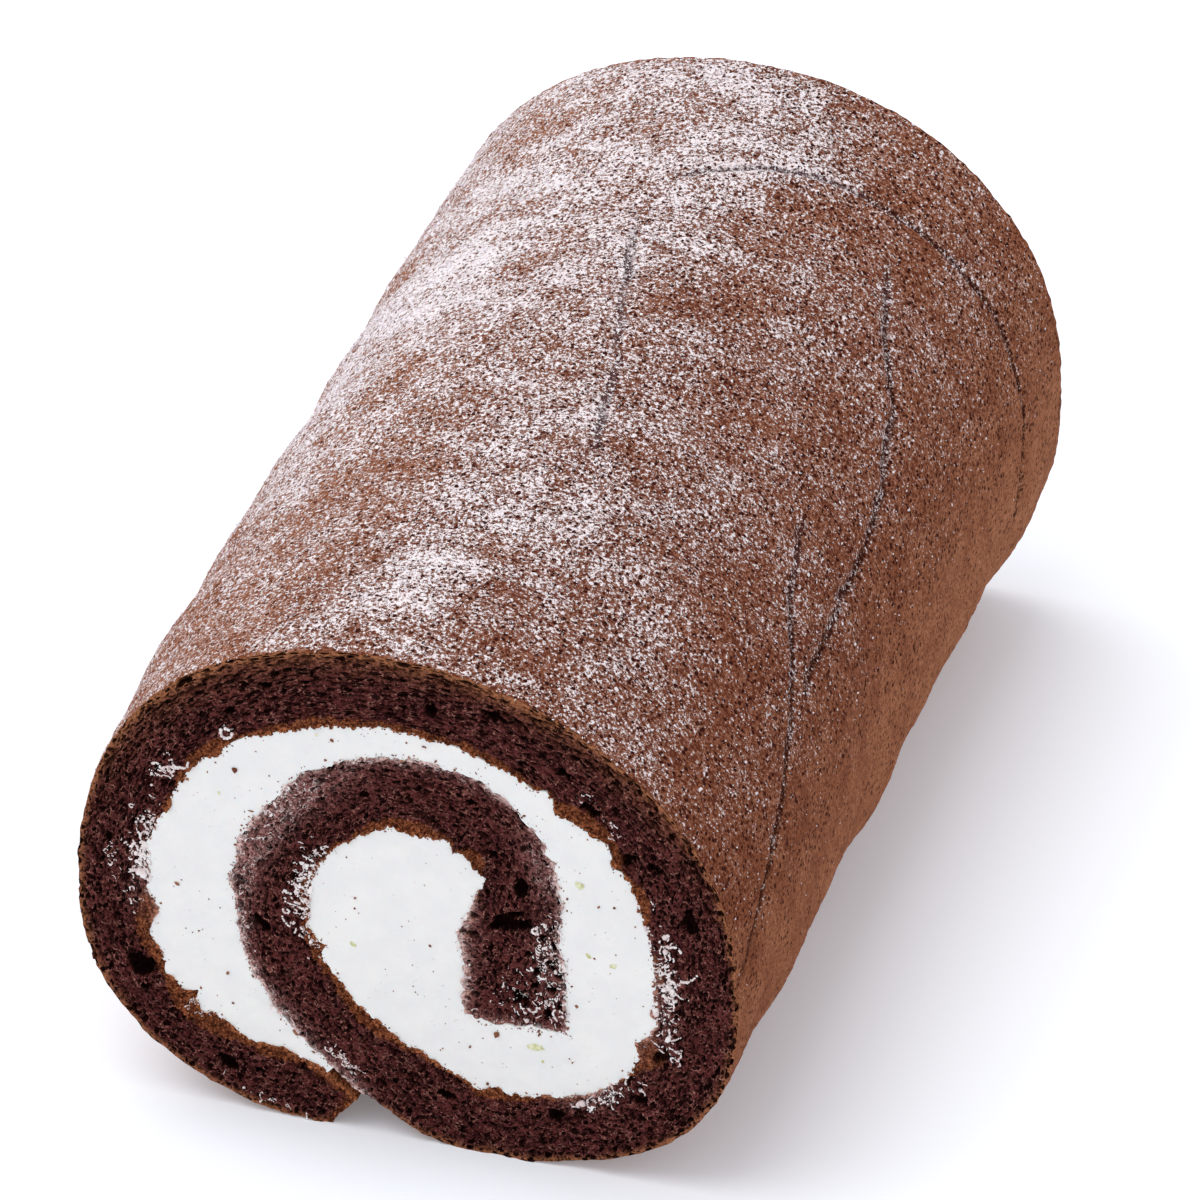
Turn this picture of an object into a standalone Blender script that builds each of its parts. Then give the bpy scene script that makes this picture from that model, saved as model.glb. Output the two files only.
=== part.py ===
"""A rolled sponge cake: one sheet of chocolate sponge wound round a filling of whipped cream, whole, on its base.

The roll lies along Y, with the end that is seen cut at -Y. Z is up, and the base rests on Z = 0.
The section below is drawn in millimetres in the plane of that end, with x = 0 at mid width and z = 0 at the base.
MM turns it into metres.
"""

import math

import bmesh
import bpy
from mathutils import Vector

MM = 0.001

# Size of the roll
LENGTH = 157.0
FRONT_WIDTH = 95.0
WAIST_HEIGHT = 34.0  # the level where the roll is widest
CROWN_HEIGHT = 47.5  # from the waist to the crown
BASE_SAG = 0.9  # how far the soft roll has pressed itself flat
BASE_FLAT = 0.25  # what lies lower than this is pressed onto the base
BACK_WIDER = 1.04
BACK_TALLER = 1.055
BACK_SIDEWAYS = 4.0

# How square the outline is: 2 is an ellipse, and more is boxier
SQUARE = 2.34
SQUARE_RIGHT = 0.05
SQUARE_TOP = -0.30
SQUARE_DIAGONAL = -0.22

# The sponge sheet
SHEET = 11.4
SHEET_RIGHT = 0.6
SHEET_TOP = 0.7
SHEET_UPRIGHT = 0.3
SHEET_RAMP = 12.8  # where it leaves the skin
SHEET_INNER = 11.0  # at the foot of the inner turn
SHEET_CROWN = 12.3  # over the inner turn
SHEET_END = 14.8  # at the bent inner end
FLAP_START = math.radians(-96.6)  # where the outer end lies under the roll
FLAP_THIN = 5.2  # how much thinner the outer end is
FLAP_REACH = math.radians(7.5)  # how far back it thins
FLAP_SLANT = 1.0  # how far the end's face leans either way
WRAP_END = math.radians(-444.0)  # where the sheet leaves the skin for the inside

# The inner turn, as an arch with one straight leg
ARCH_TOP = Vector((1.7, 59.0))
ARCH_LEFT = Vector((21.0, 22.0))  # the radii of its left quarter
ARCH_RIGHT = Vector((14.7, 16.0))
ARCH_SQUARE = 2.4
LEG_FOOT = 23.4
LEG_BEND = 16.0  # the stretch over which the sheet thickens to its inner end
RAMP_PULL = Vector((-8.0, 3.0))
RAMP_LIFT = Vector((0.0, -18.5))

# Spacing of the faces
STEP = 4.5
LENGTH_CUTS = 19

# Fits
CREAM_GAP = 0.3  # between the cream and the sponge
CREAM_TIP = 2.0  # the cream ends this far inside the flap's end

# Relief of the skin: slow swells in millimetres, and creases where the paper was folded
RELIEF_START = 6.0  # it grows from nothing at the base to its full height here
SWELLS = (
    # height, waves along the length, waves round the roll, phase
    (0.42, 2.3, 3.0, 0.6),
    (0.28, 4.1, 5.0, 2.1),
    (0.22, 6.7, 2.0, 4.0),
)
BULGES = (
    # height, place along the length from 0 to 1, its reach, angle on the skin, its reach
    (1.2, 0.22, 0.16, math.radians(-4.0), 0.55),
    (-1.4, 0.50, 0.20, math.radians(22.0), 0.50),
    (1.7, 0.96, 0.16, math.radians(56.0), 0.50),
    (1.0, 0.16, 0.12, math.radians(155.0), 0.45),
)
CREASES = (
    # depth, angle at its front end, angle at its back end, front end, back end
    (0.7, math.radians(52.0), math.radians(40.0), 0.25, 0.95),
    (0.5, math.radians(112.0), math.radians(98.0), 0.45, 0.98),
    (0.5, math.radians(30.0), math.radians(44.0), 0.00, 0.40),
)
CREASE_WIDTH = math.radians(4.0)

SPONGE_COLOR = (0.115, 0.048, 0.033, 1.0)
CREAM_COLOR = (0.86, 0.85, 0.84, 1.0)


def superellipse(angle, radii, power):
    """The point at an angle on a superellipse about the origin."""
    c, s = math.cos(angle), math.sin(angle)
    return Vector((
        radii.x * math.copysign(abs(c) ** (2 / power), c),
        radii.y * math.copysign(abs(s) ** (2 / power), s),
    ))


def skin_point(angle):
    """A point of the outer skin, which the weight of the roll has pressed flat along the base."""
    c, s = math.cos(angle), math.sin(angle)
    power = SQUARE + SQUARE_RIGHT * c + SQUARE_TOP * s + SQUARE_DIAGONAL * c * s
    height = CROWN_HEIGHT if s > 0 else WAIST_HEIGHT + BASE_SAG
    point = superellipse(angle, Vector((FRONT_WIDTH / 2, height)), power)
    return Vector((point.x, max(point.y + WAIST_HEIGHT, 0.0)))


def wrap_thickness(angle):
    c, s = math.cos(angle), math.sin(angle)
    thinning = FLAP_THIN * max(0.0, 1 - (FLAP_START - angle) / FLAP_REACH)
    return SHEET + SHEET_RIGHT * c + SHEET_TOP * s + SHEET_UPRIGHT * (s * s - c * c) - thinning


def wrap_line():
    """The sheet round the outside, from the flap under the roll, clockwise to the base again.

    Each point of a line holds x and z of the sheet's middle, and the thickness there.
    """
    count = 240
    line = []
    for i in range(count + 1):
        angle = FLAP_START + (WRAP_END - FLAP_START) * i / count
        ahead = skin_point(angle - 0.01) - skin_point(angle + 0.01)
        inward = Vector((ahead.y, -ahead.x)).normalized()
        thickness = wrap_thickness(angle)
        middle = skin_point(angle) + inward * thickness / 2
        line.append(Vector((middle.x, middle.y, thickness)))
    return line


def ramp_line(start, finish):
    """The sheet's rise from the base into the middle: a Bezier curve that ends upright."""
    first, last = start.to_2d() + RAMP_PULL, finish.to_2d() + RAMP_LIFT
    count = 40
    line = []
    for i in range(1, count):
        t = i / count
        u = 1 - t
        middle = u**3 * start.to_2d() + 3 * u * u * t * first + 3 * u * t * t * last + t**3 * finish.to_2d()
        line.append(Vector((middle.x, middle.y, SHEET_RAMP + (SHEET_INNER - SHEET_RAMP) * t)))
    return line


def arch_line():
    """The inner turn: a left quarter, a right quarter and the leg that hangs from it."""
    count = 30
    left_middle = ARCH_TOP - Vector((0, ARCH_LEFT.y))
    right_middle = ARCH_TOP - Vector((0, ARCH_RIGHT.y))
    quarter = math.pi / 2
    line = []
    for i in range(count):
        middle = left_middle + superellipse(math.pi - quarter * i / count, ARCH_LEFT, 2)
        line.append(Vector((middle.x, middle.y, SHEET_INNER + (SHEET_CROWN - SHEET_INNER) * i / count)))
    for i in range(count + 1):
        middle = right_middle + superellipse(quarter - quarter * i / count, ARCH_RIGHT, ARCH_SQUARE)
        line.append(Vector((middle.x, middle.y, SHEET_CROWN)))
    foot = LEG_FOOT + LEG_BEND
    line.append(Vector((right_middle.x + ARCH_RIGHT.x, foot, SHEET_CROWN)))
    line.append(Vector((right_middle.x + ARCH_RIGHT.x, LEG_FOOT, SHEET_END)))
    return line


def evenly(line, step):
    """The same line with points at an even spacing."""
    lengths = [0.0]
    for a, b in zip(line, line[1:]):
        lengths.append(lengths[-1] + (b - a).to_2d().length)
    count = round(lengths[-1] / step)
    points = []
    place = 0
    for i in range(count + 1):
        wanted = lengths[-1] * i / count
        while place < len(line) - 2 and lengths[place + 1] < wanted:
            place += 1
        share = (wanted - lengths[place]) / (lengths[place + 1] - lengths[place])
        points.append(line[place].lerp(line[place + 1], share))
    return points


def wound_sheet():
    """The whole sheet, from the flap to its inner end, and the index where it leaves the skin."""
    wrap = wrap_line()
    arch = arch_line()
    wrap_length = sum((b - a).to_2d().length for a, b in zip(wrap, wrap[1:]))
    return evenly(wrap + ramp_line(wrap[-1], arch[0]) + arch, STEP), round(wrap_length / STEP)


def side(sheet, way, extra=0.0):
    """One face of the sheet: way is 1 for the skin and -1 for the face that the cream covers."""
    points = []
    for i, point in enumerate(sheet):
        ahead = sheet[min(i + 1, len(sheet) - 1)] - sheet[max(i - 1, 0)]
        outward = Vector((-ahead.y, ahead.x)).normalized()
        points.append(point.to_2d() + outward * way * (point.z / 2 + extra))
    points[0].x -= FLAP_SLANT * way
    return points


def skin_relief(point, along):
    """How far the skin stands out at a point of the section, at a place along the length from 0 to 1."""
    angle = math.atan2(point.y - WAIST_HEIGHT, point.x)
    height = 0.0
    for size, length_waves, round_waves, phase in SWELLS:
        height += size * math.sin(length_waves * math.tau * along + phase) * math.cos(round_waves * angle + phase)
    for size, place, reach, middle, spread in BULGES:
        height += size * math.exp(-(((along - place) / reach) ** 2) - ((angle - middle) / spread) ** 2)
    for depth, front_angle, back_angle, front, back in CREASES:
        share = (along - front) / (back - front)
        if 0 <= share <= 1:
            off = (angle - front_angle - (back_angle - front_angle) * share) / CREASE_WIDTH
            height -= depth * math.exp(-off * off) * math.sin(math.pi * share) ** 0.5
    return height


def place_in_roll(point, along):
    """The place in the roll, in metres, of a point of the front section carried along the length."""
    wide = 1 + (BACK_WIDER - 1) * along
    tall = 1 + (BACK_TALLER - 1) * along
    sideways = BACK_SIDEWAYS * along
    middle = ((BACK_WIDER - 1) * FRONT_WIDTH / 2 + BACK_SIDEWAYS) / 2
    return Vector((point.x * wide + sideways - middle, (along - 0.5) * LENGTH, point.y * tall)) * MM


def material(name, color, roughness):
    made = bpy.data.materials.new(name)
    made.use_nodes = True
    shader = made.node_tree.nodes["Principled BSDF"]
    shader.inputs["Base Color"].default_value = color
    shader.inputs["Roughness"].default_value = roughness
    shader.inputs["Metallic"].default_value = 0.0
    made.diffuse_color = color
    return made


def add_solid(name, bm, collection, finish):
    bmesh.ops.recalc_face_normals(bm, faces=bm.faces)
    mesh = bpy.data.meshes.new(name)
    bm.to_mesh(mesh)
    bm.free()
    mesh.materials.append(finish)
    mesh.shade_smooth()
    mesh.set_sharp_from_angle(angle=math.radians(40))
    solid = bpy.data.objects.new(name, mesh)
    collection.objects.link(solid)
    return solid


def extruded(bm, faces, cuts):
    """Carries the faces at y = 0 along to y = 1, with rings of edges between."""
    carried = bmesh.ops.extrude_face_region(bm, geom=faces, use_keep_orig=True)["geom"]
    bmesh.ops.translate(bm, verts=[g for g in carried if isinstance(g, bmesh.types.BMVert)], vec=(0, 1, 0))
    if cuts:
        long_edges = [e for e in bm.edges if abs(e.verts[0].co.y - e.verts[1].co.y) > 0.5]
        bmesh.ops.subdivide_edges(bm, edges=long_edges, cuts=cuts, use_grid_fill=True)


def make_sponge(collection):
    """The sheet: a strip of quads across its section, carried along the roll, with the relief on its skin."""
    sheet, wrapped = wound_sheet()
    skin, covered = side(sheet, 1), side(sheet, -1)
    bm = bmesh.new()
    on_skin = bm.verts.layers.float.new("on_skin")
    rows = []
    for i, (outer, inner) in enumerate(zip(skin, covered)):
        height = outer.y if outer.y > BASE_FLAT else 0.0
        outer_vert = bm.verts.new((outer.x, 0, height))
        outer_vert[on_skin] = 1.0 if i <= wrapped else 0.0
        rows.append((outer_vert, bm.verts.new((inner.x, 0, inner.y))))
    faces = [bm.faces.new((a[0], a[1], b[1], b[0])) for a, b in zip(rows, rows[1:])]
    extruded(bm, faces, LENGTH_CUTS)
    for vert in bm.verts:
        point, along = Vector((vert.co.x, vert.co.z)), vert.co.y
        if vert[on_skin] > 0.5 and point.y > 0:
            outward = Vector((point.x, point.y - WAIST_HEIGHT)).normalized()
            lift = min(1.0, point.y / RELIEF_START)
            point = point + outward * skin_relief(point, along) * lift
        vert.co = place_in_roll(point, along)
    add_solid("sponge", bm, collection, material("chocolate_sponge", SPONGE_COLOR, 0.9))


def make_cream(collection):
    """The filling: all that the sheet encloses, from the flap's end round to the inner end and back."""
    sheet, wrapped = wound_sheet()
    covered, inner_skin = side(sheet, -1, CREAM_GAP), side(sheet, 1, CREAM_GAP)
    first = math.ceil(CREAM_TIP / STEP)
    leg_end = len(sheet) - 1
    drop = Vector((0, -CREAM_GAP))
    tip = covered[first]
    nearest = min(range(wrapped, leg_end), key=lambda i: (inner_skin[i] - tip).length)
    outline = covered[first:] + [covered[leg_end] + drop, inner_skin[leg_end] + drop]
    outline += [inner_skin[i] for i in range(leg_end, nearest - 1, -1)]
    bm = bmesh.new()
    face = bm.faces.new([bm.verts.new((p.x, 0, p.y)) for p in outline])
    extruded(bm, [face], 0)
    for vert in bm.verts:
        vert.co = place_in_roll(Vector((vert.co.x, vert.co.z)), vert.co.y)
    bmesh.ops.triangulate(bm, faces=bm.faces)
    add_solid("cream", bm, collection, material("whipped_cream", CREAM_COLOR, 0.5))


def main():
    for old in list(bpy.data.objects):
        bpy.data.objects.remove(old, do_unlink=True)
    collection = bpy.data.collections.new("roll_cake")
    bpy.context.scene.collection.children.link(collection)
    make_sponge(collection)
    make_cream(collection)


main()
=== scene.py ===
"""The looks of a chocolate roll cake: sponge wound round whipped cream, dusted with powdered sugar."""

import math

import bmesh
import bpy
import numpy as np
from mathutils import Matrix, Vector, geometry


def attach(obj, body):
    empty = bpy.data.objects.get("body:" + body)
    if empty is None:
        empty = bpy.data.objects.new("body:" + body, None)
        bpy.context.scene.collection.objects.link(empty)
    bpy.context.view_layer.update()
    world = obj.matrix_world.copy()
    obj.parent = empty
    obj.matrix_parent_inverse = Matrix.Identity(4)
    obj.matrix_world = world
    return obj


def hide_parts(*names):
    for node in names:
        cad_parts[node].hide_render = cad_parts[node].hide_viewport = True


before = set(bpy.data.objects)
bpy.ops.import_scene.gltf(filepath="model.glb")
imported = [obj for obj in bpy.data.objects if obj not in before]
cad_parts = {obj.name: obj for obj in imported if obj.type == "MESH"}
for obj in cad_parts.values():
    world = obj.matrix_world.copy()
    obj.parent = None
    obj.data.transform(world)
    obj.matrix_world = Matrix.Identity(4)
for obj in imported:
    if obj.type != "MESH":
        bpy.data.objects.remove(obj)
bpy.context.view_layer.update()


# ---------------------------------------------------------------- table, light and camera
# The cake lies on a plain white table under a large soft light from the upper left, with white walls all round.
# It is seen from above its cut end through a long lens.

LOOK_AT = Vector((0.02535, -0.0785, 0.0969))
FROM_SIDE = math.radians(16.91)
FROM_ABOVE = math.radians(34.36)
CAMERA_AWAY = 1.128
TABLE_WHITE = (0.832, 0.868, 0.925)

bpy.ops.object.select_all(action="DESELECT")
camera_place = LOOK_AT + CAMERA_AWAY * Vector((
    math.sin(FROM_SIDE) * math.cos(FROM_ABOVE),
    -math.cos(FROM_SIDE) * math.cos(FROM_ABOVE),
    math.sin(FROM_ABOVE),
))
camera_turn = (LOOK_AT - camera_place).to_track_quat("-Z", "Y").to_euler()
bpy.ops.object.camera_add(location=camera_place, rotation=camera_turn)
camera = bpy.context.object
camera.name = "camera"
camera.data.lens = 255.0
camera.data.sensor_width = 36.0
camera.data.clip_start = 0.05
bpy.context.scene.camera = camera

bpy.ops.object.light_add(type="SUN", rotation=Vector((0.40, 0.02, -1.0)).to_track_quat("-Z", "Y").to_euler())
window = bpy.context.object
window.name = "soft_window"
window.data.energy = 1.7
window.data.angle = math.radians(58)
window.data.color = (1.0, 0.99, 0.97)

room = bpy.data.worlds.new("white_room")
room.use_nodes = True
room.node_tree.nodes["Background"].inputs["Color"].default_value = (0.985, 0.98, 1.0, 1.0)
room.node_tree.nodes["Background"].inputs["Strength"].default_value = 0.80
bpy.context.scene.world = room
bpy.context.scene.view_settings.view_transform = "Standard"


class Wire:
    """A socket of a material. Arithmetic on it adds Math nodes."""

    def __init__(self, finish, socket):
        self.finish = finish
        self.socket = socket

    def math(self, operation, first, second, clamp=False):
        return self.finish.node("ShaderNodeMath", {"operation": operation, "use_clamp": clamp}, {0: first, 1: second})

    def __add__(self, other):
        return self.math("ADD", self, other)

    def __sub__(self, other):
        return self.math("SUBTRACT", self, other)

    def __rsub__(self, other):
        return self.math("SUBTRACT", other, self)

    def __mul__(self, other):
        return self.math("MULTIPLY", self, other)

    __radd__, __rmul__ = __add__, __mul__

    def rise(self, low, high):
        """0 at low and 1 at high, smooth between them, where high may be the lower of the two."""
        return self.finish.node("ShaderNodeMapRange", {"interpolation_type": "SMOOTHSTEP"}, {0: self, 1: low, 2: high})

    def held(self):
        return self.math("ADD", self, 0.0, clamp=True)

    def size(self):
        return self.finish.node("ShaderNodeMath", {"operation": "ABSOLUTE"}, {0: self})

    def beside(self, output):
        """Another output of the node that this socket belongs to."""
        return Wire(self.finish, self.socket.node.outputs[output])


class Finish:
    """A material of nodes round one Principled shader."""

    def __init__(self, name, **constants):
        self.material = bpy.data.materials.new(name)
        self.material.use_nodes = True
        self.tree = self.material.node_tree
        self.shader = self.tree.nodes["Principled BSDF"]
        for socket, value in constants.items():
            self.shader.inputs[socket.replace("_", " ")].default_value = value
        self.place = self.node("ShaderNodeTexCoord", {}, {}, "Object")

    def node(self, kind, settings, sockets, output=0):
        made = self.tree.nodes.new(kind)
        for name, value in settings.items():
            setattr(made, name, value)
        inputs = [socket for socket in made.inputs if socket.enabled]
        for key, value in sockets.items():
            socket = inputs[key] if isinstance(key, int) else made.inputs[key]
            if isinstance(value, Wire):
                self.tree.links.new(value.socket, socket)
            else:
                socket.default_value = value
        outputs = [socket for socket in made.outputs if socket.enabled]
        return Wire(self, outputs[output] if isinstance(output, int) else made.outputs[output])

    def noise(self, grain, detail=2.0, rough=0.5, place=None):
        """Noise from 0 to 1 with blotches about grain metres across."""
        return self.node("ShaderNodeTexNoise", {}, {
            "Vector": place or self.place, "Scale": 1 / grain, "Detail": detail, "Roughness": rough,
        })

    def cells(self, grain):
        """The distance to the nearest of points about grain metres apart, where 0.5 is half way between two."""
        return self.node("ShaderNodeTexVoronoi", {}, {"Vector": self.place, "Scale": 1 / grain})

    def carried(self, name):
        """A value that the mesh carries at each of its points."""
        return self.node("ShaderNodeAttribute", {"attribute_name": name}, {}, "Fac")

    def blend(self, share, first, second):
        first, second = (value if isinstance(value, Wire) else (*value, 1.0) for value in (first, second))
        return self.node("ShaderNodeMix", {"data_type": "RGBA"}, {0: share, 1: first, 2: second})

    def wear(self, color, height=None, depth=0.001):
        """The colour of the finish, and its relief, whose height of 1 stands for depth in metres."""
        self.tree.links.new(color.socket, self.shader.inputs["Base Color"])
        if height:
            relief = self.node("ShaderNodeBump", {}, {"Distance": depth, "Height": height})
            self.tree.links.new(relief.socket, self.shader.inputs["Normal"])


# The table glows faintly by itself: painted light that lifts the shadows on it and adds to the light on the cake
table_finish = Finish(
    "white_table", Base_Color=(*TABLE_WHITE, 1.0), Roughness=0.8,
    Emission_Color=(0.97, 0.96, 1.0, 1.0), Emission_Strength=0.13,
)

bpy.ops.object.select_all(action="DESELECT")
bpy.ops.mesh.primitive_plane_add(size=6.0, location=(0, 0, 0))
table = bpy.context.object
table.name = "table"
table.data.materials.append(table_finish.material)


# ---------------------------------------------------------------- sponge: the body of the roll
# One sheet of chocolate sponge, baked flat, spread with cream and rolled up with the baked skin outside.
# It is soft, has pressed itself flat where it lies, and keeps creases from the paper it was rolled in.

# Sizes are in millimetres, and angles run round the roll from its right side, up over the top
MM = 0.001
LENGTH, FRONT_WIDTH, WAIST_HEIGHT, CROWN_HEIGHT = 157.0, 95.0, 34.0, 47.5
BASE_SAG, BASE_FLAT = 0.9, 0.25
BACK_WIDER, BACK_TALLER, BACK_SIDEWAYS = 1.04, 1.055, 4.0
SQUARE, SQUARE_RIGHT, SQUARE_TOP, SQUARE_DIAGONAL = 2.34, 0.05, -0.30, -0.22
SHEET, SHEET_RIGHT, SHEET_TOP, SHEET_UPRIGHT = 11.4, 0.6, 0.7, 0.3
SHEET_RAMP, SHEET_INNER, SHEET_CROWN, SHEET_END = 12.8, 11.0, 12.3, 14.8
FLAP_START, FLAP_REACH, WRAP_END = math.radians(-96.6), math.radians(7.5), math.radians(-444.0)
FLAP_THIN, FLAP_SLANT = 5.2, 1.0
ARCH_TOP, ARCH_LEFT, ARCH_RIGHT, ARCH_SQUARE = (1.7, 59.0), (21.0, 22.0), (14.7, 16.0), 2.4
LEG_FOOT, LEG_BEND = 23.4, 16.0
RAMP_PULL, RAMP_LIFT = (-8.0, 3.0), (0.0, -18.5)
LINE_STEP = 0.5  # between the points of the sheet's middle line
SKIN_DEGREE = 0.75  # of skin to a degree round the roll
# Slow swells: height, waves along the length, waves round the roll, phase
SWELLS = ((0.42, 2.3, 3.0, 0.6), (0.28, 4.1, 5.0, 2.1), (0.22, 6.7, 2.0, 4.0))
# Bulges and hollows: height, place along the length, its reach, degrees round the roll, reach in radians
BULGES = (
    (1.2, 0.22, 0.16, -4, 0.55), (-1.4, 0.50, 0.20, 22, 0.50), (1.0, 0.96, 0.16, 52, 0.50),
    (1.0, 0.16, 0.12, 155, 0.45), (0.9, 0.43, 0.07, 150, 0.40), (-0.7, 0.85, 0.18, 22, 0.50),
)
# Each crease: its depth, its width, and its course over the skin as places along the length and angles round it
CREASES = (
    (0.85, 0.9, ((0.00, 3), (0.06, 10), (0.13, 17), (0.20, 23), (0.28, 31), (0.36, 38), (0.43, 42))),
    (0.95, 0.9, ((0.27, 26), (0.30, 27), (0.40, 27.5), (0.50, 28), (0.57, 31), (0.65, 37), (0.72, 46), (0.80, 51))),
    (0.40, 0.8, ((0.34, 79), (0.38, 80), (0.48, 83), (0.58, 88), (0.72, 94))),
    (0.75, 0.9, ((0.80, 90), (0.84, 78), (0.865, 64), (0.88, 50), (0.89, 30), (0.885, 10), (0.865, -6))),
)
SLAB = 3.0  # how deep the two cut ends are made as pieces of their own


def unit(value):
    """A value held between 0 and 1."""
    return np.clip(value, 0.0, 1.0)


def bell(off, reach, across=0.0, spread=1.0):
    """A hump: 1 in its middle, and next to nothing past its reach, or past its spread across."""
    return np.exp(-((off / reach) ** 2) - (across / spread) ** 2)


def soft_noise(x, y, z=0.0, seed=0):
    """Smooth noise from -1 to 1 with a grain of about 1."""
    place = np.stack(np.broadcast_arrays(x, y, z)).astype(float)
    low = np.floor(place)
    share = place - low
    share = share * share * (3 - 2 * share)
    low = low.astype(np.int64)
    total = 0.0
    for corner in range(8):
        step = np.array([corner & 1, corner >> 1 & 1, corner >> 2])
        at = low + step.reshape((3,) + (1,) * (low.ndim - 1))
        mixed = (at[0] * 73856093 ^ at[1] * 19349663 ^ at[2] * 83492791) + seed * 2654435761
        mixed = (mixed ^ mixed >> 13) * 1274126177 & 0x7FFFFFFF
        mixed = (mixed ^ mixed >> 15) * 668265263 & 0x7FFFFFFF
        weight = 1.0
        for axis in range(3):
            weight = weight * (share[axis] if step[axis] else 1 - share[axis])
        total = total + weight * ((mixed & 0xFFFF) / 32767.5 - 1)
    return total


def super_round(angle, radii, power):
    c, s = np.cos(angle), np.sin(angle)
    return (
        radii[0] * np.sign(c) * np.abs(c) ** (2 / power),
        radii[1] * np.sign(s) * np.abs(s) ** (2 / power),
    )


def skin_at(angle):
    c, s = np.cos(angle), np.sin(angle)
    power = SQUARE + SQUARE_RIGHT * c + SQUARE_TOP * s + SQUARE_DIAGONAL * c * s
    x, z = super_round(angle, (FRONT_WIDTH / 2, 1.0), power)
    return np.stack([x, np.maximum(z * np.where(s > 0, CROWN_HEIGHT, WAIST_HEIGHT + BASE_SAG) + WAIST_HEIGHT, 0)])


def sheet_line():
    """The sheet's middle from the flap to its inner end: length, x, z, normal and thickness; and the wrap's length."""
    angle = np.linspace(FLAP_START, WRAP_END, 481)
    c, s = np.cos(angle), np.sin(angle)
    ahead = skin_at(angle - 0.01) - skin_at(angle + 0.01)
    inward = np.stack([ahead[1], -ahead[0]]) / np.hypot(*ahead)
    thick = SHEET + SHEET_RIGHT * c + SHEET_TOP * s + SHEET_UPRIGHT * (s * s - c * c)
    thick = thick - FLAP_THIN * np.maximum(0, 1 - (FLAP_START - angle) / FLAP_REACH)
    wrap = np.vstack([skin_at(angle) + inward * thick / 2, thick])
    left_middle = (ARCH_TOP[0], ARCH_TOP[1] - ARCH_LEFT[1])
    right_middle = (ARCH_TOP[0], ARCH_TOP[1] - ARCH_RIGHT[1])
    start, finish = wrap[:2, -1], np.array([left_middle[0] - ARCH_LEFT[0], left_middle[1]])
    t = np.arange(1, 40) / 40
    ramp = np.vstack([
        np.outer(start, (1 - t) ** 3)
        + np.outer(start + RAMP_PULL, 3 * (1 - t) ** 2 * t)
        + np.outer(finish + RAMP_LIFT, 3 * (1 - t) * t * t)
        + np.outer(finish, t**3),
        SHEET_RAMP + (SHEET_INNER - SHEET_RAMP) * t,
    ])
    share = np.arange(30) / 30
    x, z = super_round(math.pi - math.pi / 2 * share, ARCH_LEFT, 2)
    left = np.stack([x + left_middle[0], z + left_middle[1], SHEET_INNER + (SHEET_CROWN - SHEET_INNER) * share])
    share = np.arange(31) / 30
    x, z = super_round(math.pi / 2 * (1 - share), ARCH_RIGHT, ARCH_SQUARE)
    right = np.stack([x + right_middle[0], z + right_middle[1], np.full(31, SHEET_CROWN)])
    leg_x = right_middle[0] + ARCH_RIGHT[0]
    leg = np.array([[leg_x, leg_x], [LEG_FOOT + LEG_BEND, LEG_FOOT], [SHEET_CROWN, SHEET_END]])
    line = np.hstack([wrap, ramp, left, right, leg])
    lengths = np.append(0, np.cumsum(np.hypot(*np.diff(line[:2]))))
    wrap_length = lengths[wrap.shape[1] - 1]
    even = np.linspace(0, lengths[-1], round(lengths[-1] / LINE_STEP) + 1)
    line = np.array([np.interp(even, lengths, row) for row in line])
    kernel = np.exp(-0.5 * (np.arange(-8, 9) / 3) ** 2)
    before = 2 * line[:, :1] - line[:, 8:0:-1]
    after = 2 * line[:, -1:] - line[:, -2:-10:-1]
    line = np.array([np.convolve(row, kernel / kernel.sum(), "valid") for row in np.hstack([before, line, after])])
    ahead = np.gradient(line[:2], axis=1)
    normal = np.stack([-ahead[1], ahead[0]]) / np.hypot(*ahead)
    return even, line[0], line[1], normal[0], normal[1], line[2], wrap_length


line_s, line_x, line_z, line_nx, line_nz, line_thick, WRAP = sheet_line()
SHEET_LONG = line_s[-1]


def in_section(s, r, proud=0.0, onward=0.0):
    """The place across the roll of a point of the flat sheet: s along it, r from -1 at the cream to 1 at the skin."""
    reach = r * np.interp(s, line_s, line_thick) / 2 + proud
    out_x, out_z = np.interp(s, line_s, line_nx), np.interp(s, line_s, line_nz)
    x = np.interp(s, line_s, line_x) + out_x * reach + out_z * onward
    z = np.interp(s, line_s, line_z) + out_z * reach - out_x * onward
    return x - FLAP_SLANT * r * unit(1 - s / 4.5), z


def nearest_crease(angle, along):
    """The crease nearest to a place of the skin: its depth there, its width, and how far off it lies."""
    degrees = np.degrees(angle)
    deep, wide, nearest = np.zeros((3,) + np.broadcast(angle, along).shape)
    closest = np.zeros(deep.shape)
    for depth, width, course in CREASES:
        places, angles = np.array(course).T
        if np.ptp(angles) < 60:
            wander = 0.7 * soft_noise(along * LENGTH / 3.0, 0.5, depth * 10)
            off = (degrees - np.interp(along, places, angles)) * SKIN_DEGREE + wander
            ends = unit((along - places[0] + 0.02) / 0.05) * unit((places[-1] + 0.02 - along) / 0.08)
        else:
            wander = 0.6 * soft_noise(degrees / 5, 2.5, 5)
            off = (along - np.interp(degrees, angles[::-1], places[::-1])) * LENGTH + wander
            ends = unit((degrees - angles[-1] + 6) / 10) * unit((angles[0] + 4 - degrees) / 12)
        strength = depth * ends * np.clip(0.75 + 0.6 * soft_noise(along * 30, degrees / 9, depth * 7), 0.15, 1)
        close = (strength + 0.01) * bell(off, 3)
        here = close > closest
        closest = np.where(here, close, closest)
        strength = strength * unit((2.6 - np.abs(off)) / 1.4)
        deep, wide = np.where(here, strength, deep), np.where(here, width, wide)
        nearest = np.where(here, off, nearest)
    return deep, wide, nearest


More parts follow.
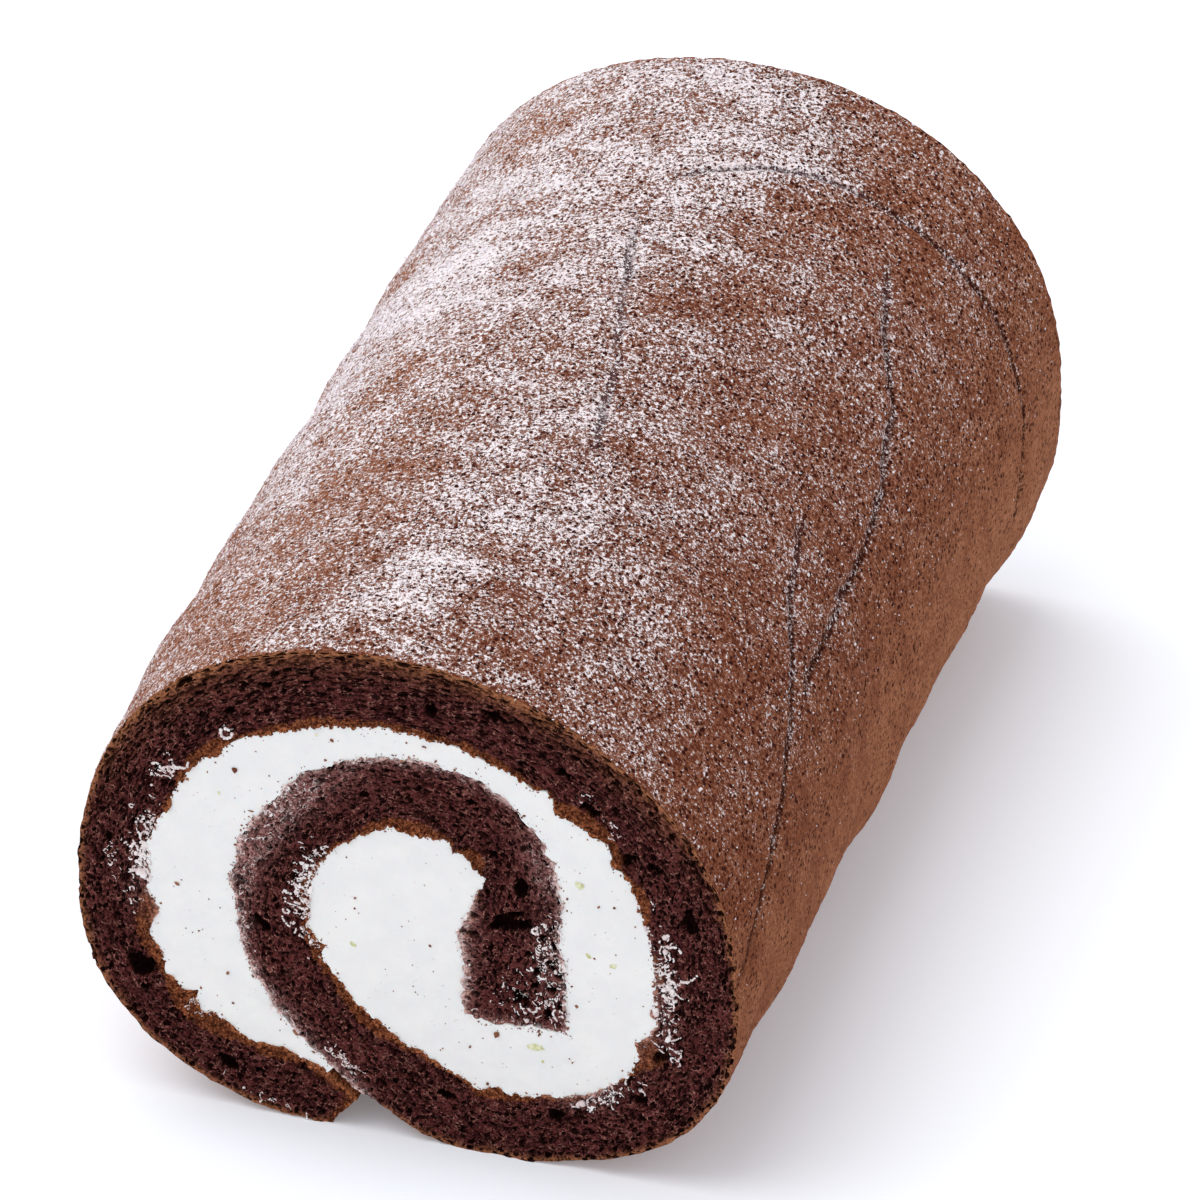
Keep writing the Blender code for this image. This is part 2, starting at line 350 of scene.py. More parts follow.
def crease_depth(angle, along):
    deep, wide, off = nearest_crease(angle, along)
    return deep * bell(off, np.maximum(wide, 0.1))


def skin_relief(angle, along):
    """How far the skin stands out, in swells, bulges and creases."""
    height = -crease_depth(angle, along)
    for size, length_waves, round_waves, phase in SWELLS:
        height = height + size * np.sin(length_waves * math.tau * along + phase) * np.cos(round_waves * angle + phase)
    for size, place, reach, middle, spread in BULGES:
        height = height + size * bell(along - place, reach, angle - math.radians(middle), spread)
    return height


def in_roll(x, z, along, on_skin=0.0):
    """The place in metres of a point of the section carried along the roll. on_skin is its share of the relief."""
    x, z, along = np.broadcast_arrays(x, z, along)
    angle = np.arctan2(z - WAIST_HEIGHT, x)
    away = np.maximum(np.hypot(x, z - WAIST_HEIGHT), 1e-6)
    lift = skin_relief(angle, along) * unit(z / 6) * on_skin / away
    x, z = x + x * lift, z + (z - WAIST_HEIGHT) * lift
    z = np.where((np.asarray(on_skin) > 0.9) & (z < BASE_FLAT), 0.0, np.maximum(z, 0.0))
    middle = ((BACK_WIDER - 1) * FRONT_WIDTH / 2 + BACK_SIDEWAYS) / 2
    return np.stack([
        x * (1 + (BACK_WIDER - 1) * along) + BACK_SIDEWAYS * along - middle,
        (along - 0.5) * LENGTH,
        z * (1 + (BACK_TALLER - 1) * along),
    ], axis=-1) * MM


def skin_edge(s, y):
    """The grain of the skin, which fades out where the roll lies on its base."""
    grain = 0.11 * soft_noise(s / 1.5, y / 1.5, 1) + 0.10 * soft_noise(s / 0.8, y / 0.8, 2)
    return grain * unit(np.interp(s, line_s, line_z) / 8 - 0.7)


def on_skin_share(s, r):
    return unit((r + 1) / 2) * unit((WRAP + 4 - s) / 6)


# Powdered sugar as it fell: how thick it lies at degrees round the roll, from 0 for none to 1
SUGAR_ROUND = (
    (-30, 5, 28, 48, 75, 95, 130, 160, 185, 215),
    (0.0, 0.08, 0.26, 0.36, 0.48, 0.54, 0.54, 0.50, 0.28, 0.08),
)
# Its drifts and bare patches: more or less, place along the length, its reach, degrees round the roll, their reach
SUGAR_DRIFTS = (
    (0.20, 0.13, 0.06, 92, 9), (0.12, 0.30, 0.07, 88, 10), (0.26, 0.42, 0.07, 133, 9), (0.24, 0.63, 0.09, 127, 12),
    (0.14, 0.53, 0.06, 137, 9), (0.14, 0.80, 0.05, 126, 12), (0.14, 0.90, 0.09, 84, 16), (0.12, 0.27, 0.07, 72, 10),
    (-0.10, 0.58, 0.07, 96, 8), (-0.14, 0.96, 0.08, 120, 20), (0.08, 0.05, 0.05, 100, 12),
    (0.10, 0.33, 0.05, 60, 8), (0.08, 0.75, 0.12, 104, 14), (-0.10, 0.27, 0.08, 118, 8),
    (-0.07, 0.10, 0.10, 138, 12), (-0.12, 0.72, 0.05, 137, 8), (-0.10, 0.47, 0.06, 108, 9),
    (-0.04, 0.55, 0.18, 72, 10), (-0.12, 0.92, 0.05, 62, 9), (-0.04, 0.80, 0.20, 52, 12),
)
# How open the pores stand at degrees round the roll: widest over the right shoulder, least on the far side
RUGGED_ROUND = ((-25, 0, 12, 30, 80, 105, 125, 200), (0.3, 0.5, 0.75, 1.0, 1.0, 0.75, 0.45, 0.4))


def round_degrees(angle):
    """Degrees round the roll, from -90 under it, over its right side and its top, to 270."""
    return np.degrees(np.mod(angle + math.pi / 2, math.tau) - math.pi / 2)


def sugar_depth(angle, along):
    degrees = round_degrees(angle)
    depth = np.interp(degrees, *SUGAR_ROUND)
    depth = depth + unit((degrees - 70) / 40) * (0.22 * along - 0.07)
    for more, place, reach, middle, spread in SUGAR_DRIFTS:
        depth = depth + 0.75 * more * bell(along - place, reach, degrees - middle, spread)
    y, around = along * LENGTH, degrees * SKIN_DEGREE
    depth = depth * (1 + 0.14 * soft_noise(y / 9, around / 9, 4) + 0.18 * soft_noise(y / 3.4, around / 3.4, 9))
    return unit(depth)


# The baked skin: a fine network of pores with ridges between, brown, where powdered sugar catches
skin = Finish("baked_skin", Roughness=0.9, Specular_IOR_Level=0.02)
SKIN_LIGHT, SKIN_BROWN = (0.42, 0.175, 0.090), (0.225, 0.074, 0.035)
SKIN_SHADE_BROWN, SKIN_PORE_SHADE = (0.090, 0.022, 0.013), (0.034, 0.007, 0.005)
SUGAR_THICK, SUGAR_THIN = (0.90, 0.85, 0.88), (0.70, 0.53, 0.52)
SUGAR_VEIL, SUGAR_SHADE = (0.50, 0.27, 0.20), (0.10, 0.045, 0.050)
GRANULE = 0.00050
rugged = skin.carried("rugged")
pore = skin.cells(0.00080)
pore_kind = skin.node("ShaderNodeSeparateColor", {}, {"Color": pore.beside("Color")}, "Red")
pore = (pore_kind * 0.42 - pore).rise(-0.08, 0.07) * (rugged * 0.8 + 0.2)
granule = skin.noise(GRANULE, 2.0, 0.8)
# The grain looked up again a step towards the light, to find the flecks whose painted shadow falls on each place
towards_light = skin.node("ShaderNodeVectorMath", {"operation": "ADD"}, {0: skin.place, 1: (-0.00022, 0.0, 0.00012)})
lit_side = skin.noise(GRANULE, 2.0, 0.8, towards_light)
lump = skin.noise(0.0009, 2.0, 0.6)
patch = skin.noise(0.006, 4.0, 0.6)
off = (skin.carried("crease_off") + (lump - 0.5) * 1.6).size()
crease = skin.carried("crease")
shade = off.rise(0.85, 0.25) * crease.rise(0.02, 0.30)
shade = shade * granule.rise(0.60, 0.51) * (lump.rise(0.56, 0.46) * 0.5 + 0.5)
ridge = granule * 0.66 + lump * 0.34 - pore * 0.16
lengthwise = skin.node("ShaderNodeSeparateXYZ", {}, {0: skin.place}, "Y")
# The ground is paler in patches, towards the far end, and where the pores stand closed: on the far side and low down
# the flank. Low down the flank this is partly painted light, as bounced up from the table
paler = patch.rise(0.35, 0.65) * 0.45 + (1 - rugged) * 0.70 + lengthwise * 2.8
ground = skin.blend(paler, SKIN_BROWN, SKIN_LIGHT)
# Darker between the ridges: partly the skin's own darker brown, partly painted shade in the hollows
ground = skin.blend(ridge.rise(0.56, 0.41) * (rugged * 0.72 + 0.2), ground, SKIN_SHADE_BROWN)
# Painted shade in the pores
ground = skin.blend(pore * 0.8, ground, SKIN_PORE_SHADE)
sugar = skin.carried("sugar")
# Sugar lies where the ridges and its own depth come above a level, in a thin veil first. Beside each fleck, on the
# side away from the light, a small shadow is painted on the ground
speckle = ridge * 2.25 + patch * 0.32 + off.rise(2.4, 0.8) * crease * 0.14
lies = speckle + sugar * 0.74 - 1.665 - (1 - rugged) * 0.07
veil = (lies + 0.25).rise(0.0, 0.25) * sugar.rise(0.05, 0.4) * (0.85 - rugged * 0.52)
sugar_shadow = (lies + (lit_side - granule) * 1.4).rise(0.0, 0.14) * lies.rise(0.04, -0.04)
dusted = skin.blend(sugar_shadow * 0.62, skin.blend(veil, ground, SUGAR_VEIL), SKIN_SHADE_BROWN)
powder = skin.blend((granule + sugar * 0.35).rise(0.60, 0.84), SUGAR_THIN, SUGAR_THICK)
dusted = skin.blend(lies.rise(0.0, 0.07), dusted, powder)
# The pores' painted shade shows through the thin sugar as well
dusted = skin.blend(pore * (granule.rise(0.66, 0.5) * 0.8), dusted, SKIN_PORE_SHADE)
dusted = skin.blend(shade * 0.9, dusted, skin.blend(sugar.rise(0.25, 0.5), SKIN_PORE_SHADE, SUGAR_SHADE))
skin.wear(dusted, ridge * 1.3 - shade * 0.9 + lies.rise(0.0, 0.1) * 0.25, 0.00055)


def carry(mesh, name, values):
    """Gives each point of a mesh a value that its material reads."""
    mesh.attributes.new(name, "FLOAT", "POINT").data.foreach_set("value", np.asarray(values, np.float32))


def carry_skin(mesh, angle, along, outer, dusted=1.0):
    """Gives each point of a mesh what the finish of the skin reads."""
    crease, _, off = nearest_crease(angle, along)
    carry(mesh, "sugar", sugar_depth(angle, along) * outer * dusted)
    carry(mesh, "rugged", np.interp(round_degrees(angle), *RUGGED_ROUND))
    carry(mesh, "crease", crease * outer)
    carry(mesh, "crease_off", off)


def points_of(mesh):
    """The places of a mesh's points."""
    flat = np.empty(len(mesh.vertices) * 3, np.float32)
    mesh.vertices.foreach_get("co", flat)
    return flat.reshape(-1, 3).astype(float)


def move_points(mesh, places):
    mesh.vertices.foreach_set("co", np.ascontiguousarray(places, np.float32).ravel())
    mesh.update()


def select_edges(mesh, wanted):
    """Selects, in edit mode, the open edges whose two ends both pass a test."""
    bm = bmesh.from_edit_mesh(mesh)
    for edge in bm.edges:
        edge.select_set(edge.is_boundary and all(wanted(vert.co) for vert in edge.verts))
    bmesh.update_edit_mesh(mesh)


def clear_selection():
    """Leaves edit mode and deselects everything."""
    if bpy.context.mode != "OBJECT":
        bpy.ops.object.mode_set(mode="OBJECT")
    bpy.ops.object.select_all(action="DESELECT")


def flat_sheet(name, columns, rows):
    """A new flat sheet of squares from -1 to 1 each way, in edit mode."""
    clear_selection()
    bpy.ops.mesh.primitive_grid_add(x_subdivisions=columns, y_subdivisions=rows, size=2)
    made = bpy.context.object
    made.name = made.data.name = name
    bpy.ops.object.mode_set(mode="EDIT")
    bpy.ops.mesh.select_mode(type="EDGE")
    return made


def finished(piece, smooth, *finishes):
    """Turns the faces out, smooths them and gives the piece its finishes."""
    clear_selection()
    piece.select_set(True)
    bpy.context.view_layer.objects.active = piece
    bpy.ops.object.mode_set(mode="EDIT")
    bpy.ops.mesh.select_all(action="SELECT")
    bpy.ops.mesh.normals_make_consistent(inside=False)
    bpy.ops.object.mode_set(mode="OBJECT")
    bpy.ops.object.shade_smooth_by_angle(angle=math.radians(smooth))
    for finish in finishes:
        piece.data.materials.append(finish.material)
    return piece


BODY_ROWS, INNER_TURN, INNER_FACE = 200, 22, 36
FINE = 0.63  # between the points round the skin
skin_s = line_s[line_s <= WRAP]
skin_x, skin_z = in_section(skin_s, 1.0)
skin_step = np.hypot(np.diff(skin_x), np.diff(skin_z)) * np.where(skin_z[1:] < 0.6, 0.12, 1.0)  # few on the base
skin_long = np.append(0, np.cumsum(skin_step))
skin_columns = round(skin_long[-1] / FINE)
ring_s = np.concatenate([
    np.interp(np.linspace(0, skin_long[-1], skin_columns, endpoint=False), skin_long, skin_s),
    np.linspace(WRAP, SHEET_LONG, INNER_TURN, endpoint=False),
    np.full(2, SHEET_LONG),
    np.linspace(SHEET_LONG, 0, INNER_FACE, endpoint=False),
    np.zeros(3),
])
ring_r = np.concatenate([
    np.ones(skin_columns + INNER_TURN), (1.0, 0.0), -np.ones(INNER_FACE), (-1.0, 0.0, 1.0),
])
row_y = np.linspace(SLAB, LENGTH - SLAB, BODY_ROWS - 3)
row_y = np.concatenate([[SLAB - 0.3, SLAB - 0.05], row_y, [LENGTH - SLAB + 0.05, LENGTH - SLAB + 0.3]])
body = flat_sheet("sponge_body", len(ring_s) - 1, len(row_y) - 1)
bpy.ops.object.mode_set(mode="OBJECT")
flat = points_of(body.data)
column = np.rint((flat[:, 0] + 1) / 2 * (len(ring_s) - 1)).astype(int)
row = np.rint((flat[:, 1] + 1) / 2 * (len(row_y) - 1)).astype(int)
s, r, along = ring_s[column], ring_r[column], row_y[row] / LENGTH
outer = (r > 0.5) & (s < WRAP)
from_end = np.minimum(row, len(row_y) - 1 - row)
# The two ends are tucked just inside the slabs of the cuts, so that no seam shows
tuck = np.select([from_end == 0, from_end == 1], [0.35, 0.08], 0.0)
x, z = in_section(s, r, skin_edge(s, row_y[row]) * outer - np.sign(r) * tuck)
angle = np.arctan2(z - WAIST_HEIGHT, x)
move_points(body.data, in_roll(x, z, along, outer * 1.0))
carry_skin(body.data, angle, along, outer)
bpy.ops.object.mode_set(mode="EDIT")
bpy.ops.mesh.select_all(action="SELECT")
bpy.ops.mesh.remove_doubles(threshold=1e-6)
for end in (-1, 1):
    select_edges(body.data, lambda place: place.y * end > 0)
    bpy.ops.mesh.edge_face_add()
finished(body, 60, skin)
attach(body, "root")
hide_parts("sponge")


# ---------------------------------------------------------------- sponge: the front cut
# The cut end shows the crumb: torn open pores, long ones where the sheet was pressed, and dark tunnels.
# The face that was spread is a toasted, pebbly band; cream has worked into the crumb beside it.

EDGE_REACH = 2.6  # how far in from its edge the sheet follows the crags of that edge


def crags(s, seed, size):
    """How far the torn edge lies inside its line, at places along it."""
    lobes = 0.6 - 1.5 * np.abs(soft_noise(s / 2.6, 0.5, seed)) ** 0.7
    grains = 0.35 - 0.9 * np.abs(soft_noise(s / 0.9, 2.5, seed)) ** 0.8
    fuzz = 0.18 * soft_noise(s / 0.36, 3.5, seed)
    return size * (0.45 * soft_noise(s / 5.5, 1.5, seed) + 0.60 * lobes + 0.42 * grains + fuzz)


# Where the spread face stands out into the cream, or is bitten back: x, z, reach along, how far it stands out
LOBES = (
    (-35.5, 32, 1.6, 1.2), (-37, 28, 1.3, -0.9), (-30.3, 19.3, 0.8, 1.9), (-33, 22.5, 1.2, -0.6),
    (-29, 16.5, 0.9, -0.7), (20.5, 63.5, 1.2, -0.8), (23, 61, 1.4, 0.8), (28.5, 56, 1.2, -0.6), (30, 53, 1.3, 0.7),
    (35, 23, 1.7, 1.6), (37, 27.5, 1.4, -0.8), (13, 12.5, 1.2, 0.8), (16, 12, 1.0, 0.7), (12, 47.5, 3.0, -1.9),
    (7, 50.5, 1.6, 0.6), (9, 36.5, 5.0, 2.4), (9, 27, 3.0, 0.7), (-2, 53, 1.0, -0.8), (2.5, 51.5, 1.1, 0.7),
    (-11, 31, 1.2, 0.8), (-12.5, 34, 1.0, -0.6), (-26, 60.5, 1.5, 0.6), (-34, 50, 1.4, 0.5), (-38, 43, 1.3, -0.6),
    (-18, 13, 1.2, 0.5),
)


def spread_edge(s, seed):
    bitten = crags(s, seed, 0.75)
    for x, z, reach, stands in LOBES:
        bitten = bitten - stands * bell(s - sheet_at(x, z)[0], reach)
    return bitten


def turn_edge(s, seed):
    return crags(s, seed + 3, 1.05)


def leg_end(r, seed):
    torn = crags(r * SHEET_END / 2, seed + 5, 1.0)
    return torn + 1.2 * bell(r + 0.45, 0.32) + 0.8 * bell(r - 0.75, 0.3)


def torn_place(s, r, y, seed, sink=0.0):
    """The place in the section of a point of a cut, with the crags of its edges. Sink lies that far inside them."""
    thick = np.interp(s, line_s, line_thick)
    w = r * thick / 2
    fade_spread = unit(1 - (w + thick / 2) / EDGE_REACH) ** 1.5
    fade_skin = unit(1 - (thick / 2 - w) / EDGE_REACH) ** 1.5
    inner = unit((s - WRAP - 3) / 6)
    proud = fade_spread * spread_edge(s, seed) - fade_skin * inner * turn_edge(s, seed)
    proud = proud + fade_skin * (1 - inner) * skin_edge(s, y) - r * sink
    onward = leg_end(r, seed) * unit(1 - (SHEET_LONG - s) / EDGE_REACH) ** 1.5
    onward = onward + 0.5 * crags(r * 4, seed + 8, 1.0) * unit(1 - s / EDGE_REACH) ** 1.5
    return in_section(s, r, proud, onward - sink * (s > SHEET_LONG - 1e-6))


def sheet_at(x, z):
    """The length along the sheet, and the offset from its middle, of a place in the section."""
    near = np.argmin(np.hypot(line_x - x, line_z - z))
    return line_s[near], (x - line_x[near]) * line_nx[near] + (z - line_z[near]) * line_nz[near]


def near_places(s, w, places):
    """How close points of the sheet are to the nearest of some places: x, z, reach along, reach across, strength."""
    close = np.zeros(np.broadcast(s, w).shape)
    for x, z, reach_s, reach_w, strength in places:
        at_s, at_w = sheet_at(x, z)
        close = np.maximum(close, strength * bell(s - at_s, reach_s, w - at_w, reach_w))
    return close


class Cut:
    """One cut end, laid flat: a grid of points along and across the sheet, and how deep each lies."""

    def __init__(self, end, cell, rows, seed):
        """End is 0 for the near end of the roll and 1 for the far one; inward is the way along Y into the roll."""
        self.end, self.inward = end, 1 - 2 * end
        self.columns = round(SHEET_LONG / cell)
        self.rows, self.seed = rows, seed
        self.s = (np.arange(self.columns + 1) * SHEET_LONG / self.columns)[:, None]
        self.r = np.linspace(-1, 1, rows + 1)[None, :]
        self.thick = np.interp(self.s, line_s, line_thick)
        self.w = self.r * self.thick / 2
        self.depth = np.zeros((self.columns + 1, rows + 1))

    def press(self, field, s, w, long, wide, turn, deep, sharp):
        """Presses one oval of a height into a field."""
        reach = max(long, wide)
        step = SHEET_LONG / self.columns
        k0, k1 = max(int((s - reach) / step), 0), min(int((s + reach) / step) + 2, self.columns + 1)
        thick = self.thick[min(max(int(s / step), 0), self.columns), 0]
        j0 = max(int(((w - reach) / thick + 0.5) * self.rows), 0)
        j1 = min(int(((w + reach) / thick + 0.5) * self.rows) + 2, self.rows + 1)
        if k0 >= k1 or j0 >= j1:
            return
        du, dv = self.s[k0:k1] - s, self.w[k0:k1, j0:j1] - w
        c, sn = math.cos(turn), math.sin(turn)
        out = ((du * c + dv * sn) / long) ** 2 + ((dv * c - du * sn) / wide) ** 2
        np.maximum(field[k0:k1, j0:j1], deep * unit(1 - out**sharp), out=field[k0:k1, j0:j1])

    def tear(self, pores, pinholes, voids, pebbles):
        """Opens the crumb: pores, pinholes and named voids, and the pebbles of the toasted band."""
        chance = np.random.default_rng(self.seed)
        s, w, r = self.s, self.w, self.r
        from_spread, from_skin = w + self.thick / 2, self.thick / 2 - w
        wrapped = unit((WRAP + 12 - s) / 4)
        top = bell(s - sheet_at(0, 75)[0], 55)
        toast = toasted(s, w, from_spread, self.seed)
        rim = wrapped * bell(from_skin, 0.75 + 0.35 * soft_noise(s / 2, 0.5, self.seed))
        top_side = wrapped * unit((np.interp(s, line_s, line_z) - 45) / 25)
        cloudy = 0.7 + 0.3 * soft_noise(s / 4, w / 1.5, self.seed)
        rim = rim + 0.75 * top_side * bell(from_skin, 3.0) * cloudy
        turn_side = np.where(s > WRAP + 6, from_skin, 99.0)
        edge = bell(np.minimum(from_spread, turn_side), 0.5)
        patchy = np.clip(0.75 + 0.7 * soft_noise(s / 6, 0.5, self.seed + 6), 0.1, 1)
        turn_smear = 0.95 * patchy * bell(turn_side, 1.5) * unit((s - WRAP - 11) / 3)
        smear = np.maximum(near_places(s, w, SMEARED), turn_smear)
        smear = np.maximum(smear, 0.6 * bell(SHEET_LONG - s, 1.2))
        hollow, opened, proud = np.zeros((3,) + self.depth.shape)
        for count, size, spread in ((pores, 0.30, 0.40), (pinholes, 0.2, 0.2)):
            for at_s, share, length, slim, turn in zip(
                chance.uniform(0, SHEET_LONG, count), chance.uniform(-1, 1, count),
                size * np.exp(chance.normal(0, spread, count)),
                chance.uniform(0.42, 0.75, count), chance.normal(0, 0.25, count),
            ):
                k = int(at_s / SHEET_LONG * self.columns)
                j = int((share + 1) / 2 * self.rows)
                if toast[k, j] > chance.uniform(0.25, 1.0) or rim[k, j] > chance.uniform(0.5, 1.3):
                    continue
                flat = 1 + 0.55 * top[k, 0] * (1 if at_s < WRAP else 0.3)
                self.press(
                    hollow, at_s, self.w[k, j], length * flat, length * slim / flat,
                    turn * (0.5 if flat > 1.3 else 1), 0.35 + 1.3 * length * slim, 1.6,
                )
        for x, z, long, wide, turn, deep in voids:
            at_s, at_w = sheet_at(x, z)
            for _ in range(4):
                self.press(
                    opened, at_s + chance.normal(0, 0.35) * long, at_w + chance.normal(0, 0.3) * wide,
                    long * chance.uniform(0.55, 0.8), wide * chance.uniform(0.6, 0.9),
                    math.radians(turn) + chance.normal(0, 0.2), deep, 4.0,
                )
        for at_s, share, size in zip(
            chance.uniform(0, SHEET_LONG, pebbles), chance.uniform(0, 1, pebbles) ** 1.3,
            0.32 * np.exp(chance.normal(0, 0.3, pebbles)),
        ):
            k = int(at_s / SHEET_LONG * self.columns)
            j = int(share * 4.5 / self.thick[k, 0] * self.rows)
            if toast[k, j] > chance.uniform(0.1, 0.6):
                self.press(proud, at_s, self.w[k, j], size, size * 0.8, chance.normal(0, 1), size * 0.9, 1.0)
        rough = 0.16 * soft_noise(s / 3.1, w / 3.1, self.seed) + 0.10 * soft_noise(s / 1.1, w / 1.1, self.seed + 1)
        rough = rough + 0.08 * soft_noise(s / 0.7, w / 0.45, self.seed + 2)
        band = toast * (0.25 + 0.22 * soft_noise(s, w, self.seed + 4)) - toast * proud * 1.1
        self.depth = np.clip(0.15 + rough + band + np.maximum(hollow, opened), -0.35, SLAB - 0.5)
        # How dark painted shade makes each point of the crumb, darkest in the deep pores and the voids
        dark = unit(np.clip(hollow / 0.8, 0, 0.5) + unit(opened / 0.5))
        self.seen = {"toast": toast, "hollow": dark, "smear": smear, "rim": rim, "edge": edge}
        for side in (np.s_[:, 0], np.s_[:, -1], np.s_[0], np.s_[-1], np.s_[round(WRAP / SHEET_LONG * self.columns)]):
            self.depth[side] = np.clip(self.depth[side], -0.3, 0.4)

    def piece(self, name, first, last, rings):
        """The part of this cut between two columns, made a closed slab that follows the roll."""
        made = flat_sheet(name, last - first, self.rows)
        select_edges(made.data, lambda place: True)
        for step in np.diff((0.0, *rings)):
            bpy.ops.mesh.extrude_region_move(TRANSFORM_OT_translate={"value": (0, 0, -step)})
        bpy.ops.mesh.edge_face_add()
        bpy.ops.object.mode_set(mode="OBJECT")
        flat = points_of(made.data)
        k = np.rint((flat[:, 0] + 1) / 2 * (last - first)).astype(int) + first
        j = np.rint((flat[:, 1] + 1) / 2 * self.rows).astype(int)
        s, r = self.s[k, 0], self.r[0, j]
        deep = np.where(flat[:, 2] > -1e-4, self.depth[k, j], -flat[:, 2])
        y = self.end * LENGTH + self.inward * deep
        x, z = torn_place(s, r, y, self.seed)
        along = y / LENGTH
        places = in_roll(x, z, unit(along), on_skin_share(s, r))
        places[:, 1] = (along - 0.5) * LENGTH * MM
        move_points(made.data, places)
        angle = np.arctan2(z - WAIST_HEIGHT, x)
        outer = (r > 0.99) & (s < WRAP)
        for value, field in self.seen.items():
            carry(made.data, value, field[k, j])
        column_s = self.s[:, 0]
        pressed = bell(column_s - sheet_at(0, 75)[0], 50) * (column_s < WRAP)
        pressed = pressed + 0.5 * bell(column_s - sheet_at(2, 54)[0], 18)
        run = np.cumsum((1 - 0.5 * pressed) / 1.25) * SHEET_LONG / self.columns
        carry(made.data, "grain_along", run[k])
        carry(made.data, "grain_across", self.w[k, j] * (1 + 0.5 * pressed[k]))
        carry_skin(made.data, angle, along, outer, unit(deep / 0.6))
        finished(made, 55, crumb, skin)
        corners = np.empty(len(made.data.loops), np.int32)
        made.data.loops.foreach_get("vertex_index", corners)
        starts = np.empty(len(made.data.polygons), np.int32)
        made.data.polygons.foreach_get("loop_start", starts)
        # A face wears the skin where all its four corners are on the outside and two or more lie behind the cut
        outside = np.add.reduceat(outer[corners].astype(int), starts)
        behind = np.add.reduceat((outer & (flat[:, 2] < -1e-4))[corners].astype(int), starts)
        on_skin = (outside > 3) & (behind > 1) & (np.diff(np.append(starts, len(corners))) < 5)
        made.data.polygons.foreach_set("material_index", on_skin.astype(np.int32))
        made.data.update()
        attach(made, "root")
        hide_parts("sponge")


# Where the spread face is toasted brown: places on that face, with how far each reaches along, how wide the band is
TOASTED = (
    (0, 70, 34, 1.4), (-30, 61, 9, 1.8), (-37, 27, 8, 3.4), (-31, 15, 8, 3.8), (-18, 13, 9, 2.2), (-9, 11, 3, 2.0),
    (27, 58, 9, 2.6), (34, 48, 6, 1.7), (36, 36, 6, 0.9), (34, 22, 4, 2.6), (13, 12, 7, 1.7), (24, 12, 5, 1.0),
    (-6, 21, 12, 2.0), (-12, 31, 7, 1.6), (-12, 40, 8, 1.3), (0, 52, 10, 2.2), (10, 50, 4, 2.4), (9, 40, 6, 0.5),
    (9, 28, 6, 0.4),
)
# Where cream is worked into the crumb: x, z, reach along, reach across, strength
SMEARED = (
    (-18, 52, 9, 2.6, 1.0), (-22, 45, 7, 2.0, 0.9), (-24, 34, 3, 2.0, 0.75), (-10, 60, 4, 1.2, 0.5),
    (-38, 38, 7, 2.4, 0.3), (37, 30, 9, 2.0, 0.3), (27, 13, 5, 1.6, 0.5), (-17, 18, 6, 1.5, 0.45),
    (21, 36, 8, 2.2, 0.35), (9.0, 39, 6, 1.9, 1.0), (9, 30, 6, 1.5, 0.8), (-8, 62, 5, 1.0, 0.4),
    (20, 50, 5, 2.0, 0.5),
)
# Tunnels and large pores: x, z, half length along the sheet, half width, turn in degrees, depth
VOIDS = (
    (-38.2, 21.4, 2.3, 2.1, 53, 2.4), (-27, 8, 2.0, 1.1, 0, 1.6), (27, 62, 1.5, 0.9, 15, 1.6),
    (14.5, 74.3, 2.2, 0.8, 0, 1.6), (4, 74, 1.3, 0.6, 0, 1.3), (-19, 73, 1.1, 0.5, 0, 1.2),
    (-20.5, 32.5, 1.6, 0.8, 10, 1.6), (17, 47, 1.4, 1.0, 20, 1.7), (15.4, 40.3, 1.2, 3.3, 39, 1.9),
    (17, 28.5, 1.3, 1.3, 40, 1.5), (22, 8.5, 1.4, 1.0, 20, 1.4), (37, 22, 1.7, 0.7, 5, 1.4),
    (32, 55, 1.1, 0.8, 0, 1.3), (36, 54, 0.9, 0.6, 0, 1.2), (41, 46, 1.7, 1.1, 0, 1.4), (-24, 68, 1.2, 0.5, 0, 1.1),
    (23, 67.5, 1.5, 0.6, 0, 1.3), (-43, 43, 1.2, 0.4, 0, 1.0), (6, 9, 1.5, 0.6, 0, 1.1),
    (-38, 18, 1.0, 0.5, 0, 1.0), (10, 60, 0.9, 0.5, 0, 1.0), (-5, 58, 0.9, 0.4, 0, 0.9),
    (13, 52, 0.8, 0.6, 10, 1.2), (-22, 7, 0.8, 0.5, 0, 1.0), (34, 14, 1.0, 0.5, 0, 1.0),
    (21.5, 41, 0.6, 0.5, 0, 1.2), (22, 38, 0.7, 0.6, 0, 1.3), (20, 39, 0.6, 0.6, 0, 1.2),
    (21, 35, 0.7, 0.5, 0, 1.3), (22.3, 33, 0.6, 0.5, 0, 1.2), (19.5, 33.5, 0.7, 0.6, 0, 1.3),
    (21.3, 30.5, 0.7, 0.6, 0, 1.3), (19, 30.8, 0.6, 0.5, 0, 1.2), (22.4, 28, 0.6, 0.5, 0, 1.1),
    (20.6, 26.4, 0.8, 0.6, 0, 1.3), (18, 35.8, 0.6, 0.5, 0, 1.2), (12, 45.5, 0.6, 0.5, 0, 1.0),
    (10.8, 41, 0.5, 0.5, 0, 1.0), (11, 37.5, 0.6, 0.5, 0, 1.1),
)


def toasted(s, w, from_spread, seed):
    width = np.full(s.shape, 0.5)
    for x, z, reach, band in TOASTED:
        width = np.maximum(width, band * bell(s - sheet_at(x, z)[0], reach))
    width = width * (1 + 0.35 * soft_noise(s / 5, 0.5, seed)) + 0.45 * soft_noise(s / 1.4, w / 1.4, seed + 1)
    end = unit(1 - s / 2.0) + unit(1 - (SHEET_LONG - s) / 0.9) * 0.7
    return unit(unit((width - from_spread) / 0.5 + 0.5) + end)


